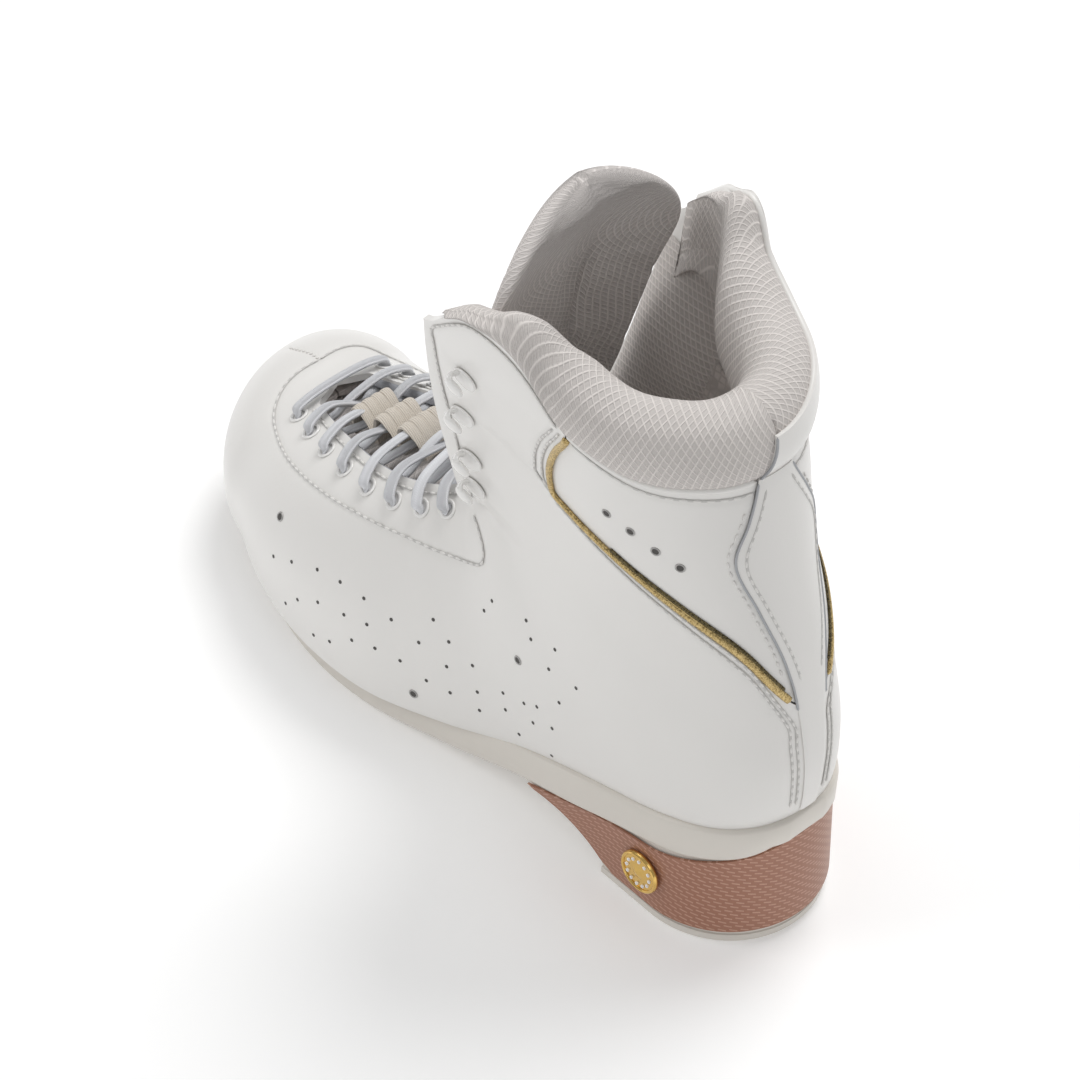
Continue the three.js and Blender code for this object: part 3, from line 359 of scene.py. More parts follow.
# ------------------------------------------------------------------ the foot form
# Slanted sections from toe to top: front y, z; back y, z; outer and inner half width, widest
# place, squareness of front and back, sideways shift.
STATIONS = np.array([
    (193, 59, 188, 7, 43, 39.5, 0.60, 2.3, 3.5, 9),
    (175, 67, 168, 4.8, 47, 42, 0.64, 2.3, 4.3, 5),
    (154, 77, 143, 4.8, 49, 44, 0.68, 2.2, 5, 2),
    (133, 88, 114, 6.5, 47, 42, 0.72, 2.1, 5, 0),
    (116, 98, 84, 11, 41, 38, 0.70, 2.1, 4.6, 0),
    (104, 105, 53, 20.5, 36, 35, 0.66, 2.1, 4.4, 0),
    (96, 112, 18, 34, 37, 33, 0.62, 2.1, 4.6, 0),
    (92, 119, -13, 41, 37, 33, 0.60, 2.1, 3.6, 0),
    (90, 127, -31, 49, 36, 32, 0.57, 2.1, 2.6, -1),
    (90, 136, -34, 70, 35, 31, 0.54, 2.1, 2.4, -1),
    (92, 146, -31, 92, 34, 30, 0.50, 2.1, 2.3, -1),
    (96, 158, -25, 118, 35, 29, 0.46, 2.1, 2.3, -1),
    (101, 171, -17, 142, 38, 31, 0.43, 2.1, 2.3, -2),
    (108, 186, -11, 162, 42, 35, 0.43, 2.1, 2.3, -2),
    (115, 203, -6, 180, 46, 39, 0.43, 2.1, 2.3, -3),
    (122, 222, -2, 200, 49, 43, 0.43, 2.1, 2.3, -3),
    (129, 242, 2, 220, 52, 46, 0.43, 2.1, 2.3, -3),
], float)
TOE_TIP = (229, 30, 19)
TOE_STEPS = 6
ARC_STEPS = 90


def toe_row(step):
    first = STATIONS[0]
    turn = math.pi / 2 * step / TOE_STEPS
    row = first.copy()
    opened = math.sin(turn)
    for k in (0, 2):
        row[k] = first[k] + (TOE_TIP[0] - first[k]) * math.cos(turn)
    for k in (1, 3):
        row[k] = TOE_TIP[1] + (first[k] - TOE_TIP[1]) * opened ** 0.8
    row[4] = first[4] * opened
    row[5] = first[5] * opened
    row[7] = 2.2
    row[8] = 2.2 + (first[8] - 2.2) * opened
    row[9] = first[9] + (TOE_TIP[2] - first[9]) * math.cos(turn)
    return row


ROWS = np.array([toe_row(k) for k in range(TOE_STEPS)] + list(STATIONS))


def cubic(p0, p1, p2, p3, f):
    bent = 2 * p0 - 5 * p1 + 4 * p2 - p3
    return p1 + 0.5 * f * (p2 - p0 + f * (bent + f * (3 * (p1 - p2) + p3 - p0)))


def mix(a, b, f):
    return a + (b - a) * f


def rows_at(s):
    last = len(ROWS) - 1
    at = np.clip(s, 0, last - 1e-9)
    i = np.floor(at).astype(int)
    near = [ROWS[np.clip(i + k, 0, last)] for k in (-1, 0, 1, 2)]
    inside = cubic(*near, (at - i)[:, None])
    return inside + np.maximum(0, s - last)[:, None] * (ROWS[-1] - ROWS[-2])


def section_points(rows, t):
    front_y, front_z, back_y, back_z, outer, inner, widest, top, low, shift = rows.T
    c, s = np.cos(t), np.sin(t)
    power = 2 / np.where(c > 0, low, top)
    reach = np.abs(c) ** power
    along = np.where(c > 0, widest + (1 - widest) * reach, widest - widest * reach)
    half = np.where(s > 0, outer, inner)
    x = shift - half * np.sign(s) * np.abs(s) ** power
    return np.stack([x, front_y + (back_y - front_y) * along, front_z + (back_z - front_z) * along], -1)


def arc_tables(s, side):
    """Length round each section up to every step, and the rows the lengths belong to."""
    rows = rows_at(s)
    turns = np.linspace(0, math.pi, ARC_STEPS + 1)
    points = np.stack([section_points(rows, side * t) for t in turns], 1)
    pieces = np.linalg.norm(np.diff(points, axis=1), axis=2)
    return rows, np.concatenate([np.zeros((len(rows), 1)), np.cumsum(pieces, 1)], 1)


FORM_STEP, SHARE_STEPS = 0.02, 250


def form_grid(side):
    """Points of one side at even steps of section and of share round the section."""
    rows, table = arc_tables(np.arange(0, 24.5, FORM_STEP), side)
    turns = np.linspace(0, math.pi, ARC_STEPS + 1)
    shares = np.linspace(0, 1, SHARE_STEPS + 1)
    turn = np.stack([np.interp(shares * line[-1], line, turns) for line in table])
    return np.stack([section_points(rows, side * turn[:, k]) for k in range(SHARE_STEPS + 1)], 1)


FORM = np.stack([form_grid(1.0), form_grid(-1.0)])


def surface(s, a):
    """Points of the form. a runs from the sole's centre (0) over the outer side to the instep
    (1), and over the inner side for -a or 2 - a."""
    s, a = np.broadcast_arrays(np.asarray(s, float), np.asarray(a, float))
    a = np.where(a > 1, a - 2, np.where(a < -1, a + 2, a))
    inner = (a < 0).astype(int)
    row = np.clip(s / FORM_STEP, 0, FORM.shape[1] - 1.001)
    column = np.clip(np.abs(a) * SHARE_STEPS, 0, SHARE_STEPS - 0.001)
    i, j = row.astype(int), column.astype(int)
    f, g = (row - i)[..., None], (column - j)[..., None]
    first = mix(FORM[inner, i, j], FORM[inner, i, j + 1], g)
    return mix(first, mix(FORM[inner, i + 1, j], FORM[inner, i + 1, j + 1], g), f)


def unit(v):
    return v / np.maximum(np.linalg.norm(v, axis=-1, keepdims=True), 1e-12)


def normals(point, s, a):
    s = np.clip(np.asarray(s, float), 0.35, 30)
    s, a = np.broadcast_arrays(s, np.asarray(a, float))
    along = point(s + 0.05, a) - point(s - 0.05, a)
    round_ = point(s, a + 0.012) - point(s, a - 0.012)
    out = unit(np.cross(round_, along))
    rows = rows_at(s.ravel()).reshape(*s.shape, 10)
    widest = rows[..., 6]
    middle = np.stack([
        rows[..., 9],
        rows[..., 0] + (rows[..., 2] - rows[..., 0]) * widest,
        rows[..., 1] + (rows[..., 3] - rows[..., 1]) * widest,
    ], -1)
    wrong = ((point(s, a) - middle) * out).sum(-1) < 0
    return np.where(wrong[..., None], -out, out)


def girth(s):
    s = np.atleast_1d(np.asarray(s, float))
    return arc_tables(s, np.ones(len(s)))[1][:, -1]


GIRTH_AT = np.linspace(0, 24, 241)
GIRTHS = girth(GIRTH_AT)


def share_of(s, mm):
    return mm / np.interp(s, GIRTH_AT, GIRTHS)


def curve_through(points):
    """A smooth line through points whose first value rises."""
    table = np.array(points, float)

    def read(x):
        x = np.asarray(x, float)
        last = len(table) - 1
        i = np.clip(np.searchsorted(table[:, 0], x, side="right") - 1, 0, last - 1)
        p = [table[np.clip(i + k, 0, last)] for k in (-1, 0, 1, 2)]
        f = np.clip((x - p[1][..., 0]) / (p[2][..., 0] - p[1][..., 0]), 0, 1)
        return cubic(*(q[..., 1] for q in p), f)

    return read


def smooth(f):
    f = np.clip(f, 0, 1)
    return f * f * (3 - 2 * f)


# Lines on the form, as shares round it by section.
SOLE_FRONT, SOLE_BACK = 2.9, 14.25
THROAT_FRONT, TIP, ROOT_TOP = 6.15, 19.75, 19.86


def feather(s):
    s = np.asarray(s, float)
    middle = (SOLE_FRONT + SOLE_BACK) / 2
    off = np.clip(np.abs(s - middle) / (SOLE_BACK - middle), 0, 1)
    turn = math.radians(55) * (1 - off ** 5) ** 0.45
    flat = np.atleast_1d(s).ravel()
    table = arc_tables(flat, np.ones(len(flat)))[1]
    k = np.clip(np.atleast_1d(turn).ravel() / math.pi * ARC_STEPS, 0, ARC_STEPS - 1e-9)
    i = k.astype(int)
    pick = np.arange(len(flat))
    length = mix(table[pick, i], table[pick, i + 1], k - i)
    return (length / np.maximum(table[:, -1], 1e-9)).reshape(s.shape)


eyelet_share = curve_through([(6.4, 0.845), (7.6, 0.825), (8.8, 0.8), (10, 0.79), (11.4, 0.82)])
flap_root = curve_through([
    (11.4, 0.84), (12.5, 0.775), (14, 0.7), (16, 0.62), (17.43, 0.561), (18.2, 0.516), (19, 0.457),
    (19.9, 0.385),
])
flap_front = curve_through([(11.4, 0.9), (12.5, 0.87), (14, 0.84), (16, 0.79), (18, 0.74), (20.3, 0.69)])
collar_edge = curve_through([
    (0, 19.75), (0.15, 19.73), (0.27, 19.6), (0.34, 19.68), (0.39, 19.88), (0.434, 20.5), (0.483, 20.78),
    (0.56, 20.75), (0.643, 20.3), (0.7, 19.9),
])
piping_line = curve_through([
    (0.03, 16.25), (0.14, 16.97), (0.25, 17.27), (0.377, 17.38), (0.487, 17.41), (0.561, 17.43),
])
stay_edge = curve_through([
    (14.3, 0.02), (16, 0.032), (16.7, 0.048), (17.7, 0.088), (18.4, 0.112), (19.1, 0.073), (19.8, 0.04),
    (22, 0.035),
])


def throat_edge(s):
    return eyelet_share(s) + share_of(s, 8)


def flap_top(u):
    a = mix(flap_root(ROOT_TOP), flap_front(TIP), u)
    return collar_edge(a) + 0.35 * u - 0.45 * smooth((u - 0.6) / 0.4)


# Front edge of the open ankle flaps: section, then x, y, z.
FLAP_EDGE = {
    1: [(11.4, -24, 96, 98), (13, -30, 94, 112), (15, -36, 93, 131), (17, -42, 93, 154), (19, -47.5, 92, 180),
        (21, -52, 90, 208)],
    -1: [(11.4, 22, 96, 98), (13, 26, 92, 112), (15, 31, 88, 131), (17, 35.5, 84, 154), (19, 39, 80, 180),
         (21, 43, 76, 208)],
}


def flap_surface(side):
    """The form with its ankle flap standing open: it leaves the form along its own surface at
    the root and runs out to the flap's front edge."""
    rows = FLAP_EDGE[side]
    edge = [curve_through([(row[0], row[k]) for row in rows]) for k in (1, 2, 3)]

    def point(s, a):
        s, a = np.broadcast_arrays(np.asarray(s, float), np.asarray(a, float))
        plain_point = surface(s, a)
        root = flap_root(s)
        u = (np.abs(a) - root) / (flap_front(s) - root)
        start = surface(s, side * root)
        end = np.stack([e(s) for e in edge], -1)
        reach = np.linalg.norm(end - start, axis=-1, keepdims=True)
        leave = unit(surface(s, side * (root + 0.01)) - surface(s, side * (root - 0.01))) * reach
        arrive = (end - start) * 1.6 - leave * 0.6
        f = np.clip(u, 0, 1)[..., None]
        made = start * (1 - smooth(f)) + end * smooth(f)
        made = made + leave * f * (1 - f) ** 2 - arrive * f * f * (1 - f)
        made = made + arrive * np.maximum(u - 1, 0)[..., None]
        on_flap = smooth((s - 11.0) / 1.3) * (u > 0)
        return mix(plain_point, made, on_flap[..., None])

    return point


FLAP = {side: flap_surface(side) for side in (1, -1)}


# ------------------------------------------------------------------ making meshes
def deselect():
    bpy.ops.object.select_all(action="DESELECT")


def only(obj):
    deselect()
    obj.select_set(True)
    bpy.context.view_layer.objects.active = obj
    return obj


def dress(obj, material, angle=50):
    obj.data.materials.clear()
    obj.data.materials.append(material)
    only(obj)
    bpy.ops.object.shade_smooth_by_angle(angle=math.radians(angle))
    return obj


def modify(obj, kind, **settings):
    only(obj)
    made = obj.modifiers.new(kind.lower(), kind)
    for key, value in settings.items():
        setattr(made, key, value)
    bpy.ops.object.modifier_apply(modifier=made.name)
    return obj


def recalculated(obj):
    only(obj)
    bpy.ops.object.mode_set(mode="EDIT")
    bpy.ops.mesh.select_all(action="SELECT")
    bpy.ops.mesh.remove_doubles(threshold=1e-6)
    bpy.ops.mesh.normals_make_consistent(inside=False)
    bpy.ops.object.mode_set(mode="OBJECT")
    return obj


def cloth_sheet(name, across, up, place, closed=False):
    """A grid laid on a surface: place(u, v) gives its points. It keeps its lengths along the
    surface as a UV map. A closed sheet joins its last column to its first."""
    deselect()
    bpy.ops.mesh.primitive_grid_add(x_subdivisions=across, y_subdivisions=up, size=1)
    obj = bpy.context.object
    obj.name = obj.data.name = name
    mesh = obj.data
    co = np.zeros(len(mesh.vertices) * 3)
    mesh.vertices.foreach_get("co", co)
    flat = co.reshape(-1, 3)
    u, v = flat[:, 0] + 0.5, flat[:, 1] + 0.5
    us, vs = np.unique(np.round(u, 6)), np.unique(np.round(v, 6))
    grid_u, grid_v = np.meshgrid(us, vs)
    points = place(grid_u, grid_v)
    column = np.searchsorted(us, np.round(u, 6))
    row = np.searchsorted(vs, np.round(v, 6))
    mesh.vertices.foreach_set("co", (points[row, column] * MM).ravel())
    run = np.zeros(points.shape[:2])
    rise = np.zeros(points.shape[:2])
    run[:, 1:] = np.cumsum(np.linalg.norm(np.diff(points, axis=1), axis=2), 1)
    rise[1:] = np.cumsum(np.linalg.norm(np.diff(points, axis=0), axis=2), 0)
    run -= run[:, [len(us) // 2]]
    layer = mesh.uv_layers[0] if mesh.uv_layers else mesh.uv_layers.new()
    layer.name = "lengths"
    corner = np.zeros(len(mesh.loops), int)
    mesh.loops.foreach_get("vertex_index", corner)
    both = np.stack([run[row, column], rise[row, column]], 1)[corner] * MM
    layer.data.foreach_set("uv", both.ravel())
    mesh.update()
    if closed:
        recalculated(obj)
    return obj


def orient_outwards(obj, away):
    """Turns the sheet's faces so that they look along away(points)."""
    mesh = obj.data
    mesh.update()
    total = 0.0
    for face in list(mesh.polygons)[:: max(1, len(mesh.polygons) // 400)]:
        total += face.normal.dot(Vector(away(np.array(face.center) / MM)))
    if total < 0:
        mesh.flip_normals()
    return obj


def thicken(obj, mm, offset=-1.0):
    return modify(obj, "SOLIDIFY", thickness=mm * MM, offset=offset, use_even_offset=False)


def sweep(name, place, ups, ring, spacing=0.8):
    """A tube along places with a flat oval ring (half width, half height). ups are the
    directions that its upper side faces. Its ends are closed."""
    steps = np.linalg.norm(np.diff(place, axis=0), axis=1)
    run = np.concatenate([[0], np.cumsum(steps)])
    count = max(4, int(run[-1] / spacing))
    at = np.linspace(0, run[-1], count)
    i = np.clip(np.searchsorted(run, at, side="right") - 1, 0, len(place) - 2)
    f = ((at - run[i]) / np.maximum(run[i + 1] - run[i], 1e-9))[:, None]
    last = len(place) - 1
    near = [place[np.clip(i + k, 0, last)] for k in (-1, 0, 1, 2)]
    line = cubic(*near, f)
    for _ in range(6):
        line[1:-1] = line[1:-1] * 0.5 + (line[:-2] + line[2:]) * 0.25
    up = unit(mix(ups[i], ups[np.clip(i + 1, 0, last)], f))
    ahead = unit(np.gradient(line, axis=0))
    side = unit(np.cross(ahead, up))
    up = np.cross(side, ahead)
    sides = 12

    def place_ring(u, v):
        k = np.clip((v * (count - 1)).round().astype(int), 0, count - 1)
        turn = 2 * math.pi * u
        taper = np.where((k == 0) | (k == count - 1), 0.02, 1.0)
        wide = (ring[0] * np.cos(turn) * taper)[..., None]
        high = (ring[1] * np.sin(turn) * taper)[..., None]
        return line[k] + side[k] * wide + up[k] * high

    return cloth_sheet(name, sides, count - 1, place_ring, closed=True)


def groove_shade(name, line, up):
    """A darker ribbon under a row of stitches: painted shade for the groove that they lie in."""
    made = sweep(name, line + up * 0.42, up, (0.45, 0.2), spacing=1.2)
    return dress(made, GROOVE_SHADE)


def merge(name, objects):
    deselect()
    for obj in objects:
        obj.select_set(True)
    bpy.context.view_layer.objects.active = objects[0]
    if len(objects) > 1:
        bpy.ops.object.join()
    objects[0].name = objects[0].data.name = name
    return objects[0]


def settled(obj):
    """Puts the object's place into its mesh."""
    only(obj)
    bpy.ops.object.transform_apply(location=True, rotation=True, scale=True)
    return obj


def copy_to(source, name, matrix):
    made = source.copy()
    made.data = source.data.copy()
    made.name = made.data.name = name
    bpy.context.scene.collection.objects.link(made)
    made.data.transform(matrix)
    return made


def standing(point, s, a, out, towards, ahead=False):
    """A matrix that stands a piece on a surface: its +Z along the outward normal, and its +X
    across the given direction, or along it with ahead."""
    up = normals(point, np.array([s]), np.array([a]))[0]
    place = point(np.array([s]), np.array([a]))[0] + up * out
    side = unit(np.cross(np.array(towards, float), up))
    if ahead:
        side = np.cross(up, side)
    front = np.cross(up, side)
    turn = Matrix((side, front, up)).transposed().to_4x4()
    return Matrix.Translation(Vector(place * MM)) @ turn


def make_stitch():
    """One stitch: a flat bead 1 long and 2 wide, to be scaled."""
    deselect()
    bpy.ops.mesh.primitive_uv_sphere_add(segments=8, ring_count=7, radius=1)
    bead = bpy.context.object
    bead.data.transform(Matrix.Diagonal((0.52, 1, 0.8, 1)))
    return bead


stitch = make_stitch()


def stitch_row(name, line, up_line, lift=0.12, length=2.3, gap=1.0, slant=0.0):
    """A row of separate stitches along a line of points."""
    place = np.asarray(line)
    run = np.concatenate([[0], np.cumsum(np.linalg.norm(np.diff(place, axis=0), axis=1))])

    def read(table, at):
        return np.stack([np.interp(at, run, table[:, k]) for k in range(3)], -1)

    beads = []
    for start in np.arange(0.5, run[-1] - length, length + gap):
        up = unit(read(np.asarray(up_line), start + length / 2))
        first, second = read(place, start), read(place, start + length)
        side = unit(np.cross(unit(second - first), up))
        ahead = unit(second - first + side * slant * length)
        side = np.cross(up, ahead)
        turn = Matrix((ahead * length, side * 0.42, up * 0.42)).transposed().to_4x4()
        middle = Vector(((first + second) / 2 + up * lift) * MM)
        stand = Matrix.Translation(middle) @ Matrix.Diagonal((MM, MM, MM, 1)) @ turn
        beads.append(copy_to(stitch, f"{name}_{len(beads)}", stand))
    return dress(merge(name, beads), THREAD, 80)


# ------------------------------------------------------------------ leather upper
def low_line(s):
    """Lower border of the outer leather at the sole, the backstay and the flap's top edge."""
    under_stay = np.where(s < 13, 0.0, np.maximum(0.004, stay_edge(s) - share_of(s, 2.5)))
    low = np.maximum(np.where(s < 14.25, feather(np.minimum(s, 14.2495)), 0), under_stay)
    u = np.linspace(0, 0.62, 120)
    rising = flap_top(u)
    top = int(np.argmax(rising)) + 1
    a_up = mix(flap_root(ROOT_TOP), flap_front(TIP), u)
    return np.where(s > ROOT_TOP, np.interp(s, rising[:top], a_up[:top]), low)


def lower_border(upper):
    """Section and share on the lower border for each row. Along the piping, where the border
    runs level, the rows fan out."""
    along = np.interp(upper, [15.6, 16.2, 16.7, 17.1, 17.3, 17.42],
                      [0.03, 0.14, 0.25, 0.377, 0.487, 0.561])
    lower = np.interp(upper, [0, 14.3, 15.6, 17.42, 18.0, 25], [0, 14.3, 16.25, 17.43, 18.0, 25])
    on_piping = (upper > 15.6) & (upper < 17.42)
    lower = np.where(on_piping, piping_line(along), lower)
    low = np.where(on_piping, along, low_line(lower))
    return lower, np.where((upper >= 17.42) & (lower < ROOT_TOP), flap_root(lower), low)


def high_line(s):
    """Upper border: the middle of the toe, the throat, and the flap's front edge."""
    u = np.linspace(0, 1, 240)
    falling = flap_top(u)
    top = int(np.argmax(falling))
    a_all = mix(flap_root(ROOT_TOP), flap_front(TIP), u)
    down = np.interp(-s, -falling[top:], a_all[top:])
    high = np.where(s < THROAT_FRONT, 1.0, throat_edge(s))
    ease = smooth((s - THROAT_FRONT) / 0.35)
    high = np.where(s > THROAT_FRONT, mix(0.985, throat_edge(s), ease), high)
    high = mix(high, flap_front(np.maximum(s, 11.4)), smooth((s - 11.2) / 0.6))
    return np.where(s > TIP - 0.02, down, high)


PEAK = float(flap_top(np.linspace(0, 1, 400)).max()) - 0.012
SECTION_AT = np.unique(np.concatenate([
    np.linspace(0.0, 2.8, 30), np.linspace(2.8, 3.4, 16), np.linspace(3.4, 11, 110),
    np.linspace(11, 13.6, 44), np.linspace(13.6, 14.0, 8), np.linspace(14.0, 14.3, 22),
    np.linspace(14.3, 18.0, 90), np.linspace(18.0, 19.7, 34), np.linspace(19.7, PEAK, 26),
]))


def pressed(points, outs, lines, depth, width):
    """Presses a narrow groove along lines of points into a surface."""
    grid = points.reshape(-1, 3)
    near = np.full(len(grid), 1e9)
    for line in lines:
        for start in range(0, len(grid), 8000):
            block = grid[start:start + 8000]
            gap = np.linalg.norm(block[:, None] - line[None], axis=2).min(1)
            near[start:start + 8000] = np.minimum(near[start:start + 8000], gap)
    fall = np.exp(-(near / width) ** 2).reshape(points.shape[:2])
    return points - outs * (depth * fall)[..., None]


def on_form(sa, side, out=0.0, point=None, closer=6):
    """A fine line of points and normals through [section, share] places."""
    table = np.array(sa, float)
    steps = np.arange(len(table))
    t = np.linspace(0, len(table) - 1, (len(table) - 1) * closer + 1)
    s = curve_through(list(zip(steps, table[:, 0])))(t)
    a = curve_through(list(zip(steps, table[:, 1])))(t) * side
    point = point or FLAP[side]
    up = normals(point, s, a)
    return point(s, a) + up * out, up


def root_seam(offset_mm):
    """The double seam below the piping and up along the flap's root."""
    a = np.linspace(0.075, 0.56, 14)
    low = [(float(piping_line(x)) - offset_mm / 18.5, float(x)) for x in a]
    s = np.linspace(17.55, 19.75, 8)
    high = [(float(x), float(flap_root(x) + share_of(x, offset_mm))) for x in s]
    down = [(float(x), float(stay_edge(x) + share_of(x, offset_mm))) for x in np.linspace(14.5, 16.0, 6)]
    return down + low[1:] + high


def facing_seam():
    return [(4.9, 1.0), (4.85, 0.93), (4.95, 0.87), (5.3, 0.82), (5.89, 0.78), (6.86, 0.752),
            (7.99, 0.744), (9.08, 0.738), (10.5, 0.706), (11.3, 0.696), (11.62, 0.705),
            (11.7, 0.735), (11.55, 0.77), (11.3, 0.80)]


def flap_seam(offset_mm):
    """Stitching inside the flap's free edge, from the throat round the tip to the collar."""
    s = np.linspace(11.6, 19.4, 16)
    front = [(float(x), float(flap_front(x) - share_of(x, offset_mm))) for x in s]
    u = np.linspace(0.95, 0.05, 10)
    top = [(float(flap_top(x)) - offset_mm / 18,
            float(mix(flap_root(ROOT_TOP), flap_front(TIP), x))) for x in u]
    return front + top


def collar_seam():
    """The row of stitches just below the collar's edge."""
    return [(float(collar_edge(a)) - 0.17, a) for a in np.linspace(0.05, 0.385, 12)]


def stay_seam(offset_mm, first, last):
    """A row of stitches along the backstay, inside its edge or, with less than 0, outside."""
    s = np.linspace(first, last, 14)
    return [(float(x), float(stay_edge(x) - share_of(x, offset_mm))) for x in s]


TOE_SEAM = [(4.88, 1.0), (4.3, 0.992), (3.7, 0.972), (3.0, 0.955)]


def throat_seam(offset_mm):
    s = np.linspace(6.5, 11.2, 12)
    return [(float(x), float(throat_edge(x) - share_of(x, offset_mm))) for x in s]


def bend_upper(obj):
    """Puts a piece of the upper's placement into its mesh; the ankle flap's bend comes from the surface it is
    built on.
    """
    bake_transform(obj)


def make_upper(name, side):
    point = FLAP[side]
    seams = [on_form(root_seam(2.0), side)[0], on_form(root_seam(4.2), side)[0],
             on_form(facing_seam(), side)[0], on_form(flap_seam(3.2), side)[0],
             on_form(throat_seam(3.0), side)[0], on_form(TOE_SEAM, 1)[0]]

    def place(u, v):
        upper = np.interp(u, np.linspace(0, 1, len(SECTION_AT)), SECTION_AT)
        lower, low = lower_border(upper)
        s = mix(lower, upper, v)
        a = side * mix(low, high_line(upper), v)
        points = point(s, a)
        outs = normals(point, s, a)
        return pressed(points, outs, seams, 0.35, 1.3)

    obj = cloth_sheet(f"upper_{name}", len(SECTION_AT) - 1, 72, place)
    orient_outwards(obj, lambda c: c - np.array([0, 80, 60 if c[2] < 90 else c[2]]))
    thicken(obj, 2.2)
    dress(obj, WHITE_LEATHER, 60)
    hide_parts(f"vamp_{name}", f"quarter_{name}", f"ankle_flap_{name}")
    bend_upper(obj)
    return obj


for name, side in SIDES.items():
    make_upper(name, side)


# ------------------------------------------------------------------ ankle panels, backstay
def filled(bottom, top, left, right, u, v):
    """Places between four edges; each edge gives [section, share] for 0..1."""
    out = []
    for k in (0, 1):
        b, t = bottom(u)[k], top(u)[k]
        le, ri = left(v)[k], right(v)[k]
        zero, one = np.zeros(1), np.ones(1)
        corners = ((1 - u) * (1 - v) * bottom(zero)[k] + u * (1 - v) * bottom(one)[k]
                   + (1 - u) * v * top(zero)[k] + u * v * top(one)[k])
        out.append((1 - v) * b + v * t + (1 - u) * le + u * ri - corners)
    return out


def make_ankle_panel(name, side):
    back = lambda s: stay_edge(s) + share_of(s, 0.2)
    front = lambda s: flap_root(s) - share_of(s, 1.4)

    def bottom(u):
        a = mix(float(back(16.3)), float(front(17.43)), u)
        return piping_line(a) + 0.03, a

    def top(u):
        a = mix(float(back(19.72)), float(front(19.8)), u)
        return collar_edge(a) + 0.02, a

    def left(v):
        s = mix(bottom(np.zeros(1))[0], top(np.zeros(1))[0], v)
        return s, back(s)

    def right(v):
        s = mix(bottom(np.ones(1))[0], top(np.ones(1))[0], v)
        return s, front(s)

    collar_stitch, _ = on_form(collar_seam(), side, point=surface)

    def place(u, v):
        s, a = filled(bottom, top, left, right, u, v)
        points = surface(s, side * a)
        outs = normals(surface, s, side * a)
        return pressed(points - outs * 0.35, outs, [collar_stitch], 0.35, 1.3)

    obj = cloth_sheet(f"ankle_leather_{name}", 84, 60, place)
    orient_outwards(obj, lambda c: c - np.array([0, 40, c[2]]))
    thicken(obj, 1.6)
    dress(obj, WHITE_LEATHER, 60)
    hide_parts(f"ankle_panel_{name}")
    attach(obj, "boot")
    return obj


for name, side in SIDES.items():
    make_ankle_panel(name, side)


BACKSTAY_RISE = 0.7


def make_backstay():
    def place(u, v):
        s = mix(14.35, 19.8, v)
        a = (2 * u - 1) * stay_edge(s)
        points = surface(s, a)
        outs = normals(surface, s, a)
        rim = 1 - 0.6 * np.abs(2 * u - 1) ** 8
        return points + outs * (BACKSTAY_RISE * rim)[..., None]

    obj = cloth_sheet("backstay_strip", 30, 150, place)
    orient_outwards(obj, lambda c: np.array([0, -1, 0]))
    thicken(obj, 1.8)
    dress(obj, WHITE_LEATHER, 60)
    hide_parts("backstay")
    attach(obj, "boot")


make_backstay()

for name, side in SIDES.items():
    s = np.linspace(16.2, 19.75, 40)
    edge_line = surface(s, side * stay_edge(s))
    edge_up = normals(surface, s, side * stay_edge(s))
    trim = sweep(f"backstay_edge_{name}", edge_line + edge_up * 0.3, edge_up, (0.4, 0.4))
    dress(trim, GREY_EDGE)
    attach(trim, "boot")

# ------------------------------------------------------------------ piping
for name, side in SIDES.items():
    low = [(float(piping_line(a)) + 0.02, float(a)) for a in np.linspace(0.05, 0.548, 16)]
    high = [(float(s), float(flap_root(s) - share_of(s, 0.9))) for s in np.linspace(17.6, 19.8, 9)]
    line, up = on_form(low + high, side, out=0.25, point=surface)
    cord = sweep(f"gold_piping_{name}", line, up, (1.25, 0.75))
    dress(cord, GOLD_GLITTER)
    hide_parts(f"piping_{name}")
    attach(cord, "boot")
    wedge_path = [(float(piping_line(a)) + 0.10, float(a)) for a in np.linspace(0.06, 0.40, 12)]
    wedge_line, wedge_up = on_form(wedge_path, side, point=surface)
    wedge = sweep(f"dark_piping_{name}", wedge_line, wedge_up, (0.9, 0.5))
    dress(wedge, DARK_GLITTER)
    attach(wedge, "boot")

# ------------------------------------------------------------------ stitching
for name, side in SIDES.items():
    rows = []
    for label, sa in (("seam_outer", root_seam(2.0)), ("seam_inner", root_seam(4.2)),
                      ("facing", facing_seam()), ("flap_rim", flap_seam(3.2)), ("throat", throat_seam(3.0))):
        line, up = on_form(sa, side, out=-0.45)
        rows.append(stitch_row(f"{label}_{name}", line, up, lift=0.55))
        rows.append(groove_shade(f"{label}_channel_{name}", line, up))
    if name == "lateral":
        line, up = on_form(TOE_SEAM, 1, out=-0.2)
        for slant in (-1.2, 1.2):
            rows.append(stitch_row("toe_zigzag", line, up, length=1.1, gap=0.7, slant=slant))
    thread = merge(f"stitching_{name}", rows)
    bend_upper(thread)
    rows = []
    line, up = on_form(collar_seam(), side, out=-0.85, point=surface)
    rows.append(stitch_row(f"collar_{name}", line, up, length=2.6, gap=1.3, lift=0.5))
    rows.append(groove_shade(f"collar_channel_{name}", line, up))
    line, up = on_form(stay_seam(3.0, 16.6, 19.6), side, out=0.25, point=surface)
    rows.append(stitch_row(f"stay_{name}", line, up, lift=0.5))
    rows.append(groove_shade(f"stay_channel_{name}", line, up))
    line, up = on_form(stay_seam(-2.2, 16.7, 19.4), side, out=-0.3, point=surface)
    rows.append(stitch_row(f"stay_outer_{name}", line, up))
    thread = merge(f"ankle_stitching_{name}", rows)
    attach(thread, "boot")

bpy.data.objects.remove(stitch)

